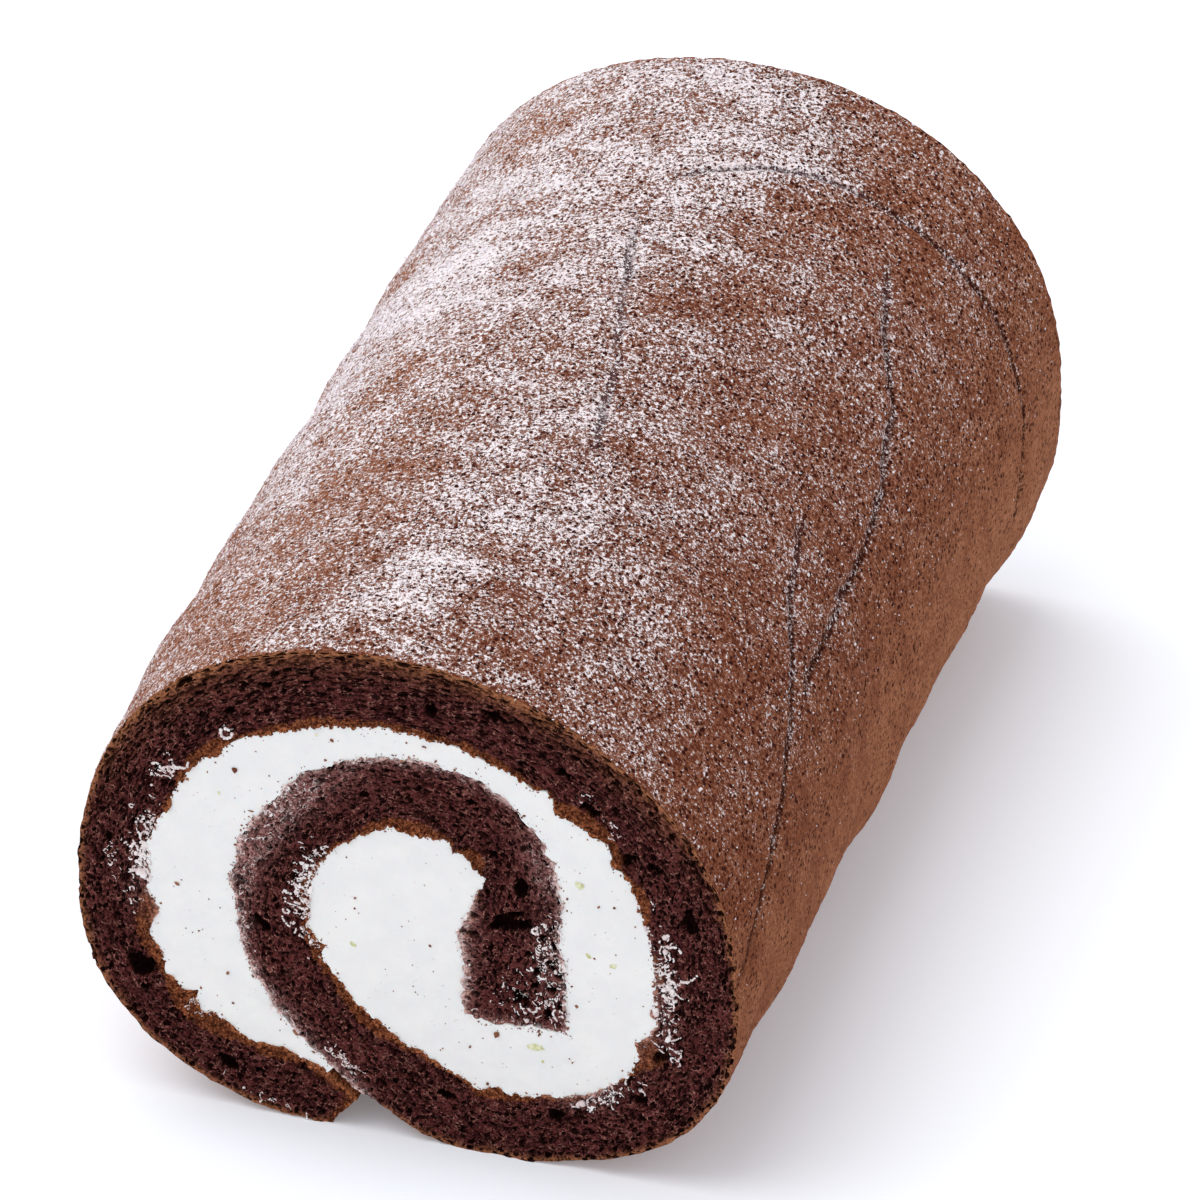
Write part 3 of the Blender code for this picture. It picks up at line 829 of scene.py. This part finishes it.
crumb = Finish("torn_crumb", Roughness=0.9, Specular_IOR_Level=0.0)
CRUMB_RIM_HIGHLIGHT, CRUMB_WALL = (0.46, 0.20, 0.16), (0.108, 0.0290, 0.0265)
CRUMB_DEEP, CRUMB_PORE_SHADE = (0.037, 0.0090, 0.0092), (0.007, 0.002, 0.002)
TOAST_LIGHT, TOAST_BROWN, TOAST_DARK = (0.42, 0.150, 0.064), (0.205, 0.060, 0.026), (0.060, 0.016, 0.009)
RIM_BROWN, SMEAR_MAUVE = (0.33, 0.130, 0.060), (0.47, 0.235, 0.210)
SMEAR_PALE, CREAM_NET = (0.74, 0.53, 0.49), (0.82, 0.71, 0.69)
GRAIN_BENT = 0.22  # the share of a place in the crumb's grain that is noise, which bends its cells
hollow, toast, rim, smear, edge = (crumb.carried(name) for name in ("hollow", "toast", "rim", "smear", "edge"))
# The crumb's own grain runs along the sheet: the mesh carries how far along and across it each point lies
grain_place = crumb.node(
    "ShaderNodeCombineXYZ", {}, {0: crumb.carried("grain_along"), 1: crumb.carried("grain_across"), 2: 0.0}
)
bend = crumb.node("ShaderNodeTexNoise", {}, {"Vector": grain_place, "Scale": 1.4, "Detail": 2.0}, "Color")
grain_place = crumb.node("ShaderNodeMix", {"data_type": "VECTOR"}, {0: GRAIN_BENT, 1: grain_place, 2: bend})


def holes(grain, widest):
    """Round pores of many sizes, one to a cell: how far a place lies inside the pore of its cell, in cells."""
    sockets = {"Vector": grain_place, "Scale": 1 / (grain * (1 - GRAIN_BENT)), "Randomness": 0.9}
    away = crumb.node("ShaderNodeTexVoronoi", {"voronoi_dimensions": "2D"}, sockets)
    kind = crumb.node("ShaderNodeSeparateColor", {}, {"Color": away.beside("Color")}, "Red")
    return kind * (widest + 0.12) - 0.12 - away


wide, fine = holes(0.80, 0.47), holes(0.40, 0.48)
wide_hole, fine_hole = wide.rise(-0.05, 0.05), fine.rise(-0.06, 0.08)
lip = (wide.rise(-0.24, -0.06) + fine.rise(-0.30, -0.06) * 0.7).held()
fleck = crumb.noise(0.00038, 2.0, 0.75)
grit = crumb.noise(0.0010, 2.0, 0.6)
cloud = crumb.noise(0.0040, 3.0, 0.6)
wall = crumb.blend((fleck * 0.8 + cloud * 0.4).rise(0.44, 0.74), CRUMB_DEEP, CRUMB_WALL)
# A painted highlight on the lips of the pores, broken by the grain
wall = crumb.blend(lip * (fleck * 0.55 + grit * 0.5).rise(0.50, 0.66) * 0.9, wall, CRUMB_RIM_HIGHLIGHT)
baked = crumb.blend((fleck * 0.7 + grit * 0.4).rise(0.44, 0.60), TOAST_DARK, TOAST_BROWN)
baked = crumb.blend((fleck * 0.8 + grit * 0.2 + edge * 0.10).rise(0.50, 0.68), baked, TOAST_LIGHT)
flesh = crumb.blend((rim * (fleck.rise(0.35, 0.6) * 0.7 + 0.35)).held(), wall, RIM_BROWN)
flesh = crumb.blend((toast * 1.5 - 0.25 + (fleck - 0.5) * 1.4).held() * toast.rise(0.02, 0.3), flesh, baked)
flesh = crumb.blend((smear * (fleck.rise(0.36, 0.60) * 0.7 + lip * 0.4 + edge * 0.35)).held(), flesh, SMEAR_MAUVE)
pale = (smear * edge * 2.0).held() * (fleck * 0.6 + grit * 0.6).rise(0.46, 0.68)
flesh = crumb.blend(pale.held(), flesh, SMEAR_PALE)
# Painted shade in the pores of the grain, less where toasted, at the edges and where cream is worked in
dark = (wide_hole * 0.95 + fine_hole * 0.8) * (1 - toast * 0.65) * (1 - edge * 0.5) * (1 - smear * 0.6)
flesh = crumb.blend(dark.held(), flesh, CRUMB_PORE_SHADE)
net = wide.rise(-0.20, -0.07) * wide.rise(0.02, -0.05) + fine.rise(-0.22, -0.08) * fine.rise(0.02, -0.06) * 0.6
net = net * smear.rise(0.15, 0.7)
flesh = crumb.blend((net * (fleck * 0.5 + grit * 0.7).rise(0.56, 0.68)).held() * 0.9, flesh, CREAM_NET)
# Painted shade in the pores and voids pressed into the mesh
flesh = crumb.blend((hollow + (fleck - 0.5) * 0.9).rise(0.25, 0.75) * (0.95 - toast * 0.2), flesh, CRUMB_PORE_SHADE)
crumb.wear(flesh, fleck * 0.5 + lip * 0.3 - wide_hole * 0.9 - fine_hole * 0.5, 0.00026)

front_cut = Cut(0, 0.18, 64, seed=11)
front_cut.tear(pores=5200, pinholes=3000, voids=VOIDS, pebbles=5200)
split = round(WRAP / SHEET_LONG * front_cut.columns)
front_cut.piece("front_cut_wrap", 0, split, (0.5, 1.2, 2.0, SLAB))
front_cut.piece("front_cut_turn", split, front_cut.columns, (0.5, SLAB))


# ---------------------------------------------------------------- sponge: the back cut
# The far end is cut like the near one and shows the same turns, with pores of its own.

back_cut = Cut(1, 0.30, 38, seed=47)
back_voids = [
    (x + 3.0 * math.sin(x), z, long * 0.8, wide, -turn, deep * 0.8) for x, z, long, wide, turn, deep in VOIDS[::2]
]
back_cut.tear(pores=6500, pinholes=2500, voids=back_voids, pebbles=4200)
back_cut.piece("back_cut", 0, back_cut.columns, (0.5, 1.6, SLAB))


# ---------------------------------------------------------------- cream: the filling
# White whipped cream, spread thick over the sheet and rolled in with it. The knife has cut it flush with the sponge
# and left faint drag marks. Its edge follows the crags of the crumb.

CREAM_SINK = 0.22  # how far it has pressed into the crumb
CREAM_BACK = 0.28  # how far its face lies behind the cut
CREAM_STEP, CREAM_GRAIN = 0.32, 0.6

spread_s = np.arange(4.5, SHEET_LONG, CREAM_STEP)
turn_s = np.arange(SHEET_LONG, WRAP, -CREAM_STEP)
turn_x, turn_z = in_section(turn_s, 1.0)
gap = np.array([np.hypot(turn_x - x, turn_z - z).min() for x, z in zip(*in_section(spread_s[:80], -1.0))])
spread_s = spread_s[np.argmax(gap > 1.3):]
tip_x, tip_z = in_section(spread_s[0], -1.0)
turn_s = turn_s[: np.argmin(np.hypot(turn_x - tip_x, turn_z - tip_z)) + 1]
end_r = np.linspace(-1, 1, 48)[1:-1]
outline_s = np.concatenate([spread_s, np.full(len(end_r), SHEET_LONG), turn_s])
outline_r = np.concatenate([-np.ones(len(spread_s)), end_r, np.ones(len(turn_s))])


def inside(x, z, loop_x, loop_z):
    """Which points lie inside a closed outline."""
    ahead_x, ahead_z = np.roll(loop_x, -1), np.roll(loop_z, -1)
    within = np.zeros(len(x), bool)
    for x0, z0, x1, z1 in zip(loop_x, loop_z, ahead_x, ahead_z):
        if z0 != z1:
            crossed = (z0 > z) != (z1 > z)
            within ^= crossed & (x < (x1 - x0) * (z - z0) / (z1 - z0) + x0)
    return within


def cream_face(seed, grain):
    """One cut face of the cream: its points in the section, its triangles, and how many points its outline has."""
    loop_x, loop_z = torn_place(outline_s, outline_r, 1.0, seed, CREAM_SINK)
    chance = np.random.default_rng(seed)
    x, z = (axis.ravel() for axis in np.meshgrid(np.arange(-42, 42, grain), np.arange(7, 75, grain)))
    x, z = x + chance.uniform(-0.2, 0.2, x.shape) * grain, z + chance.uniform(-0.2, 0.2, x.shape) * grain
    kept = inside(x, z, loop_x, loop_z)
    x, z = x[kept], z[kept]
    clear = np.array([np.hypot(loop_x - a, loop_z - b).min() > 0.45 * grain for a, b in zip(x, z)])
    x, z = np.append(loop_x, x[clear]), np.append(loop_z, z[clear])
    count = len(loop_x)
    found = geometry.delaunay_2d_cdt(
        [Vector(pair) for pair in zip(x, z)], [(i, (i + 1) % count) for i in range(count)], [], 1, 1e-5, True
    )
    if len(found[0]) != len(x) or any(len(source) != 1 or source[0] != i for i, source in enumerate(found[3])):
        raise ValueError("the outline of the cream crosses itself")
    faces = np.array(found[2])
    return x, z, faces[inside(x[faces].mean(1), z[faces].mean(1), loop_x, loop_z)], count


def on_cream(cut, x, z):
    """Places on the cream's face at a cut, in metres: it is slightly wavy, with the drag marks of the knife."""
    seed = 5 + cut.end
    drag = 0.035 * soft_noise(x / 9, z / 0.55, seed) + 0.05 * soft_noise((x + z) / 14, (z - x) / 1.3, seed + 1)
    waves = 0.13 * soft_noise(x / 7, z / 7, seed + 2)
    deep = CREAM_BACK + waves + 0.05 * soft_noise(x / 2.2, z / 2.2, seed + 3) + drag
    places = in_roll(x, z, float(cut.end))
    places[:, 1] += deep * MM * cut.inward
    return places


front_x, front_z, front_faces, ring = cream_face(front_cut.seed, CREAM_GRAIN)
back_x, back_z, back_faces, ring = cream_face(back_cut.seed, CREAM_GRAIN * 1.4)
cream_places = np.vstack([on_cream(front_cut, front_x, front_z), on_cream(back_cut, back_x, back_z)])
shift = len(front_x)
walls = [(i, (i + 1) % ring, shift + (i + 1) % ring, shift + i) for i in range(ring)]
faces = front_faces.tolist() + (back_faces[:, ::-1] + shift).tolist() + walls
cream_mesh = bpy.data.meshes.new("cream_filling")
cream_mesh.from_pydata(cream_places.tolist(), [], faces)
cream_piece = bpy.data.objects.new("cream_filling", cream_mesh)
bpy.context.scene.collection.objects.link(cream_piece)

cream = Finish("whipped_cream", Roughness=0.5, Specular_IOR_Level=0.35, Subsurface_Weight=0.12, Subsurface_Scale=0.002)
CREAM_WHITE, CREAM_COOL = (0.820, 0.808, 0.785), (0.780, 0.773, 0.760)
slick = cream.noise(0.004, 3.0, 0.55)
bubble = cream.cells(0.0013).rise(0.16, 0.05) * cream.noise(0.003, 1.0).rise(0.5, 0.62)
cream.wear(
    cream.blend(slick.rise(0.3, 0.7), CREAM_WHITE, CREAM_COOL),
    slick * 0.6 + cream.noise(0.0006, 2.0) * 0.25 - bubble * 0.5, 0.00016,
)
finished(cream_piece, 50, cream)
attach(cream_piece, "root")
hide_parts("cream")


# ---------------------------------------------------------------- cream worked into the crumb
# Where the sheet was spread and rolled, cream fills open pores beside the filling: bright threads and dots, each
# a few tenths of a millimetre thick, pressed into the crumb.

# Places in the front section: x, z, reach along, reach across, threads, thickness
THREADS = (
    (-38.2, 41, 6.5, 1.9, 60, 0.21), (-34.5, 56, 3.0, 1.1, 13, 0.18), (-43, 39, 3.0, 1.0, 8, 0.13),
    (37.6, 34, 9.5, 1.5, 62, 0.20), (38.5, 24, 3.0, 1.6, 12, 0.18), (29, 13.5, 6.0, 1.4, 40, 0.17),
    (-15.2, 38, 8.5, 1.7, 62, 0.21), (-13, 46, 3.0, 1.2, 12, 0.17), (8.6, 36, 6.5, 1.5, 46, 0.14),
    (21.5, 35, 8.5, 2.2, 96, 0.145), (18.5, 28, 4.0, 4.5, 40, 0.13), (-9, 11.8, 3.0, 0.7, 22, 0.16),
    (-24, 33, 3.5, 1.2, 12, 0.14), (-19.5, 19, 5.0, 1.0, 16, 0.13), (-20, 52, 8.0, 1.8, 26, 0.12),
    (-20, 2, 4.0, 0.5, 8, 0.15), (-31, 17, 3.0, 1.0, 8, 0.15), (30, 60, 3.0, 1.2, 6, 0.12),
    (26, 64, 1.5, 1.0, 4, 0.14), (-37, 47, 3.0, 1.2, 10, 0.16),
)
RING = (-25, 64, 0.85)  # one pore rimmed with cream
THREAD_COUNT, DOT_SHARE = 1.7, 0.06  # threads for each one counted above, and how many of them are one large dot
BLOB_STEP = 1.35  # between the blobs of a thread, in blobs


def small_shape():
    """The points and triangles of the new primitive, which is a pattern for many copies and is then removed."""
    made = bpy.context.object
    points, faces = points_of(made.data), [face.vertices[:] for face in made.data.polygons]
    bpy.data.objects.remove(made)
    return points, np.array(faces)


def turn_about(axis, angle):
    """Turns by some angles about one axis: 0 for X, 1 for Y or 2 for Z."""
    first, second = (axis + 1) % 3, (axis + 2) % 3
    turns = np.zeros((len(angle), 3, 3))
    turns[:, axis, axis] = 1
    turns[:, first, first] = turns[:, second, second] = np.cos(angle)
    turns[:, second, first] = np.sin(angle)
    turns[:, first, second] = -turns[:, second, first]
    return turns


def turned(count, chance, tilt=math.pi):
    """Random turns: for each, three directions at right angles."""
    spin, lean = chance.uniform(0, math.tau, count), chance.uniform(-tilt, tilt, count)
    return turn_about(2, chance.uniform(0, math.tau, count)) @ turn_about(0, lean) @ turn_about(2, spin)


bpy.ops.object.select_all(action="DESELECT")
bpy.ops.mesh.primitive_ico_sphere_add(subdivisions=1, radius=1)
blob_points, blob_faces = small_shape()


def mottled(name, tones, patch, edges, grain=None, depth=0.001, **constants):
    """A finish of two tones in patches, with fine relief where it has a grain."""
    made = Finish(name, **constants)
    color = made.blend(made.noise(patch, 2.0).rise(*edges), *tones)
    made.wear(color, made.noise(*grain) if grain else None, depth)
    return made


def strewn(name, points, faces, places, turns, sizes, rough, chance, finish, smooth):
    """Many copies of one small shape in one mesh, each turned, sized and roughened by itself."""
    shapes = points[None] * (1 + rough * chance.normal(0, 1, (len(places), len(points), 1))).clip(0.4, 1.8)
    shapes = np.einsum("nij,npj->npi", turns, shapes * np.asarray(sizes)[:, None, :])
    places = (shapes + np.asarray(places)[:, None, :]).reshape(-1, 3)
    corners = (faces[None] + len(points) * np.arange(len(shapes))[:, None, None]).reshape(-1, faces.shape[1])
    mesh = bpy.data.meshes.new(name)
    mesh.vertices.add(len(places))
    mesh.vertices.foreach_set("co", places.astype(np.float32).ravel())
    mesh.loops.add(corners.size)
    mesh.loops.foreach_set("vertex_index", corners.astype(np.int32).ravel())
    mesh.polygons.add(len(corners))
    mesh.polygons.foreach_set("loop_start", np.arange(0, corners.size, faces.shape[1], dtype=np.int32))
    mesh.update(calc_edges=True)
    mesh.polygons.foreach_set("use_smooth", np.full(len(corners), smooth))
    mesh.materials.append(finish.material)
    piece = bpy.data.objects.new(name, mesh)
    bpy.context.scene.collection.objects.link(piece)
    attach(piece, "root")


def cut_surface(cut, s, w):
    """Where a point of the sheet lies on a cut end, in metres."""
    k = np.clip(np.rint(s / SHEET_LONG * cut.columns).astype(int), 0, cut.columns)
    r = np.clip(w / (cut.thick[k, 0] / 2), -1, 1)
    j = np.rint((r + 1) / 2 * cut.rows).astype(int)
    x, z = torn_place(s, r, 0.0, cut.seed)
    places = in_roll(x, z, float(cut.end), on_skin_share(s, r))
    places[:, 1] += cut.depth[k, j] * MM * cut.inward
    return places


def threads(cut, spots, chance):
    """Blobs along short crooked lines on a cut: their places and sizes."""
    places, sizes = [], []
    for x, z, reach_s, reach_w, count, thick in spots:
        middle_s, middle_w = sheet_at(x, z)
        for _ in range(round(count * THREAD_COUNT)):
            s, w = middle_s + chance.normal(0, 0.6) * reach_s, middle_w + chance.normal(0, 0.6) * reach_w
            way, length, bend = chance.uniform(0, math.tau), chance.integers(3, 13), chance.normal(0, 0.35)
            size = thick * 0.50 * math.exp(chance.normal(0, 0.35))
            if chance.uniform() < DOT_SHARE:
                size, length = size * 3.0, 2
            run_s, run_w = [], []
            for _ in range(length):
                run_s.append(s)
                run_w.append(w)
                s, w = s + BLOB_STEP * size * math.cos(way), w + BLOB_STEP * size * math.sin(way)
                way += bend + chance.normal(0, 0.2)
            places.append(cut_surface(cut, np.clip(run_s, 1, SHEET_LONG - 0.3), np.array(run_w)))
            sizes.append(size * chance.uniform(0.7, 1.25, (length, 1)) * (1.2, 0.8, 1.2))
    return np.vstack(places), np.vstack(sizes) * MM


chance = np.random.default_rng(31)
front_threads, front_sizes = threads(front_cut, THREADS, chance)
back_spots = [(x, z, long, wide, count // 2, thick * 1.1) for x, z, long, wide, count, thick in THREADS[::2]]
back_threads, back_sizes = threads(back_cut, back_spots, chance)
ring_turn = np.linspace(0, math.tau, 13)[:-1]
ring_s, ring_w = sheet_at(RING[0], RING[1])
ring_places = cut_surface(front_cut, ring_s + RING[2] * np.cos(ring_turn), ring_w + RING[2] * np.sin(ring_turn))
thread_places = np.vstack([front_threads, back_threads, ring_places])
thread_sizes = np.vstack([front_sizes, back_sizes, np.full((12, 3), 0.3 * MM)])
worked_in = mottled(
    "cream_in_crumb", ((0.86, 0.82, 0.81), (0.70, 0.58, 0.57)), 0.0012, (0.35, 0.65), (0.0004,), 0.00006,
    Roughness=0.55, Specular_IOR_Level=0.3,
)
strewn(
    "cream_in_crumb", blob_points, blob_faces, thread_places, turned(len(thread_places), chance, 0.5), thread_sizes,
    0.12, chance, worked_in, True,
)


# ---------------------------------------------------------------- crumbs on the cream
# The knife drags specks of chocolate crumb over the cream: rough brown grains up to half a millimetre, and finer
# ones. They lie on the cream, thickest along the inner turn.

CRUMBS, EDGE_CRUMBS = 130, 900
# The largest ones on the front: x, z, radius
LARGE_CRUMBS = (
    (-24, 58.3, 0.45), (-33, 37, 0.42), (-30, 29.5, 0.24), (13.2, 21, 0.55), (9.4, 18, 0.26), (-26, 23, 0.32),
    (-9.9, 66, 0.36), (-19, 58.2, 0.2), (-7, 40, 0.2), (-31, 55.2, 0.22), (-28, 57, 0.2), (3.5, 67.6, 0.2),
    (28, 46, 0.25), (0.8, 67.8, 0.22), (12, 66, 0.16), (-2, 64, 0.2), (-30, 19.6, 0.22), (30.5, 38.5, 0.18),
)

crumb_speck = mottled(
    "crumb_specks", ((0.125, 0.040, 0.022), (0.33, 0.150, 0.085)), 0.0011, (0.3, 0.7), (0.00025, 2.0), 0.0001,
    Roughness=0.9, Specular_IOR_Level=0.15,
)


def free_places(cut, count, chance, margin):
    """Random places on the cream of a cut, clear of its edge by a margin."""
    loop_x, loop_z = torn_place(outline_s, outline_r, 1.0, cut.seed)
    x, z = chance.uniform(-40, 40, count * 4), chance.uniform(8, 73, count * 4)
    kept = inside(x, z, loop_x, loop_z)
    x, z = x[kept], z[kept]
    clear = np.array([np.hypot(loop_x - a, loop_z - b).min() > margin for a, b in zip(x, z)])
    return x[clear][:count], z[clear][:count]


chance = np.random.default_rng(7)
crumb_x, crumb_z = free_places(front_cut, CRUMBS, chance, 0.3)
far_x, far_z = free_places(back_cut, CRUMBS, chance, 0.3)
large = np.array(LARGE_CRUMBS)


def edge_places(cut, count, chance):
    """Random places on the cream along the edges of the inner turn, which crumbles most, and thinly along the rest."""
    loop_x, loop_z = torn_place(outline_s, outline_r, 1.0, cut.seed)
    likely = np.where((outline_r > 0) | (outline_s > SHEET_LONG - 0.1), 1.0, 0.22)
    picked = chance.choice(len(outline_s), count, p=likely / likely.sum())
    x, z = loop_x[picked] + chance.normal(0, 0.38, count), loop_z[picked] + chance.normal(0, 0.38, count)
    kept = inside(x, z, loop_x, loop_z)
    return x[kept], z[kept]


rim_x, rim_z = edge_places(front_cut, EDGE_CRUMBS, chance)
crumb_places = np.vstack([
    on_cream(front_cut, crumb_x, crumb_z), on_cream(front_cut, large[:, 0], large[:, 1]),
    on_cream(back_cut, far_x, far_z), on_cream(front_cut, rim_x, rim_z),
])
crumb_sizes = np.concatenate([
    0.095 * np.exp(chance.normal(0, 0.42, len(crumb_x))), large[:, 2],
    0.12 * np.exp(chance.normal(0, 0.4, len(far_x))), 0.085 * np.exp(chance.normal(0, 0.55, len(rim_x))),
])
crumb_sizes = crumb_sizes[:, None] * chance.uniform(0.6, 1.2, (len(crumb_sizes), 3)) * MM
strewn(
    "crumb_grains", blob_points, blob_faces, crumb_places, turned(len(crumb_places), chance), crumb_sizes, 0.3,
    chance, crumb_speck, False,
)


# ---------------------------------------------------------------- green bits in the cream
# A few thin yellow-green flakes stirred into the cream, the largest under three millimetres, half sunk in it.

# Places on the front: x, z, half length, half width, turn in degrees
FLAKES = (
    (18.9, 20.1, 1.25, 0.62, 10), (25.2, 49, 0.55, 0.75, 60), (30.1, 36.4, 0.6, 0.4, 5), (-7.4, 32, 0.38, 0.5, 40),
    (26.6, 37.5, 0.35, 0.6, 20), (20.0, 17.8, 0.25, 0.25, 0), (-26.4, 53.8, 0.25, 0.3, 0),
    (-12, 66.5, 0.22, 0.25, 0),
)

flake = mottled(
    "green_flakes", ((0.50, 0.49, 0.20), (0.72, 0.72, 0.50)), 0.0006, (0.35, 0.6), (0.0004,), 0.00015, Roughness=0.4,
)
bpy.ops.object.select_all(action="DESELECT")
bpy.ops.mesh.primitive_cylinder_add(vertices=7, radius=1, depth=0.5)
bpy.ops.object.mode_set(mode="EDIT")
bpy.ops.mesh.select_all(action="SELECT")
bpy.ops.mesh.bevel(offset=0.15, segments=1)
bpy.ops.mesh.quads_convert_to_tris()
bpy.ops.object.mode_set(mode="OBJECT")
chip_points, chip_faces = small_shape()
spots = np.array(FLAKES)
mirrored = spots * (-0.8, 1, 1, 1, 1) + (3, 3, 0, 0, 0)
flake_places = [on_cream(front_cut, *spots.T[:2]), on_cream(back_cut, *mirrored.T[:2])]
spots = np.vstack([spots, mirrored])
strewn(
    "green_flakes", chip_points[:, [0, 2, 1]], chip_faces[:, ::-1], np.vstack(flake_places),
    turn_about(1, -np.radians(spots[:, 4])), spots[:, [2, 2, 3]] * (1, 0.35, 1) * MM, 0.16,
    np.random.default_rng(19), flake, False,
)


# ---------------------------------------------------------------- powdered sugar
# Sugar sieved over the roll: it has caught on the ridges of the skin, as fine grains and small clumps, thick along
# the top and its far side and thin down the flank that faces right.

GRAINS, CLUMPS = 46000, 7500

sugar_white = mottled(
    "powdered_sugar", ((0.80, 0.76, 0.80), (0.62, 0.53, 0.56)), 0.0016, (0.3, 0.7),
    Roughness=0.75, Subsurface_Weight=0.1, Subsurface_Scale=0.0005,
)
bpy.ops.object.select_all(action="DESELECT")
bpy.ops.mesh.primitive_cone_add(vertices=3, radius1=1, depth=1.5)
speck_points, speck_faces = small_shape()
speck_points = speck_points + (0, 0, 0.15)


def on_skin(s, y):
    """A place of the skin in metres, and its outward direction."""
    def place(s, y):
        x, z = in_section(s, 1.0, skin_edge(s, y))
        return in_roll(x, z, y / LENGTH, 1.0)
    here = place(s, y)
    out = np.cross(place(s, y + 0.2) - here, place(s + 0.2, y) - here)
    middle = here * (1, 0, 1) - (0, 0, WAIST_HEIGHT * MM)
    out *= np.sign((out * middle).sum(1, keepdims=True)) / np.linalg.norm(out, axis=1, keepdims=True)
    return here, out


def sifted(count, power, chance):
    """Random places of the skin, as thick as the sugar lies."""
    s, y = np.empty(0), np.empty(0)
    while len(s) < count:
        more_s = np.interp(chance.uniform(0, skin_long[-1], count), skin_long, skin_s)
        more_y = chance.uniform(0.1, LENGTH - 0.1, count)
        x, z = in_section(more_s, 1.0)
        lies = sugar_depth(np.arctan2(z - WAIST_HEIGHT, x), more_y / LENGTH)
        kept = (chance.uniform(0, 1, count) < unit(lies - 0.05) ** power) & (z > 3)
        s, y = np.append(s, more_s[kept]), np.append(y, more_y[kept])
    return s[:count], y[:count]


def standing(out, chance):
    """Turns that stand a shape's Z along a direction, spun at random."""
    def straight(way):
        return way / np.linalg.norm(way, axis=1, keepdims=True)
    side = straight(np.cross(out, chance.normal(0, 1, out.shape)))
    lean = straight(out + 0.5 * chance.normal(0, 1, out.shape))
    side = straight(np.cross(side, lean))
    return np.stack([side, np.cross(lean, side), lean], axis=-1)


for name, count, power, radius, spread, points, faces, squat in (
    ("sugar_grains", GRAINS, 1.7, 0.15, 0.25, speck_points, speck_faces, 0.6),
    ("sugar_clumps", CLUMPS, 2.6, 0.19, 0.30, blob_points, blob_faces, 0.5),
):
    chance = np.random.default_rng(len(name) + count)
    s, y = sifted(count, power, chance)
    places, out = on_skin(s, y)
    size = radius * np.exp(chance.normal(0, spread, (count, 1))) * chance.uniform(0.7, 1.3, (count, 3)) * (1, 1, squat)
    strewn(name, points, faces, places, standing(out, chance), size * MM, 0.22, chance, sugar_white, False)
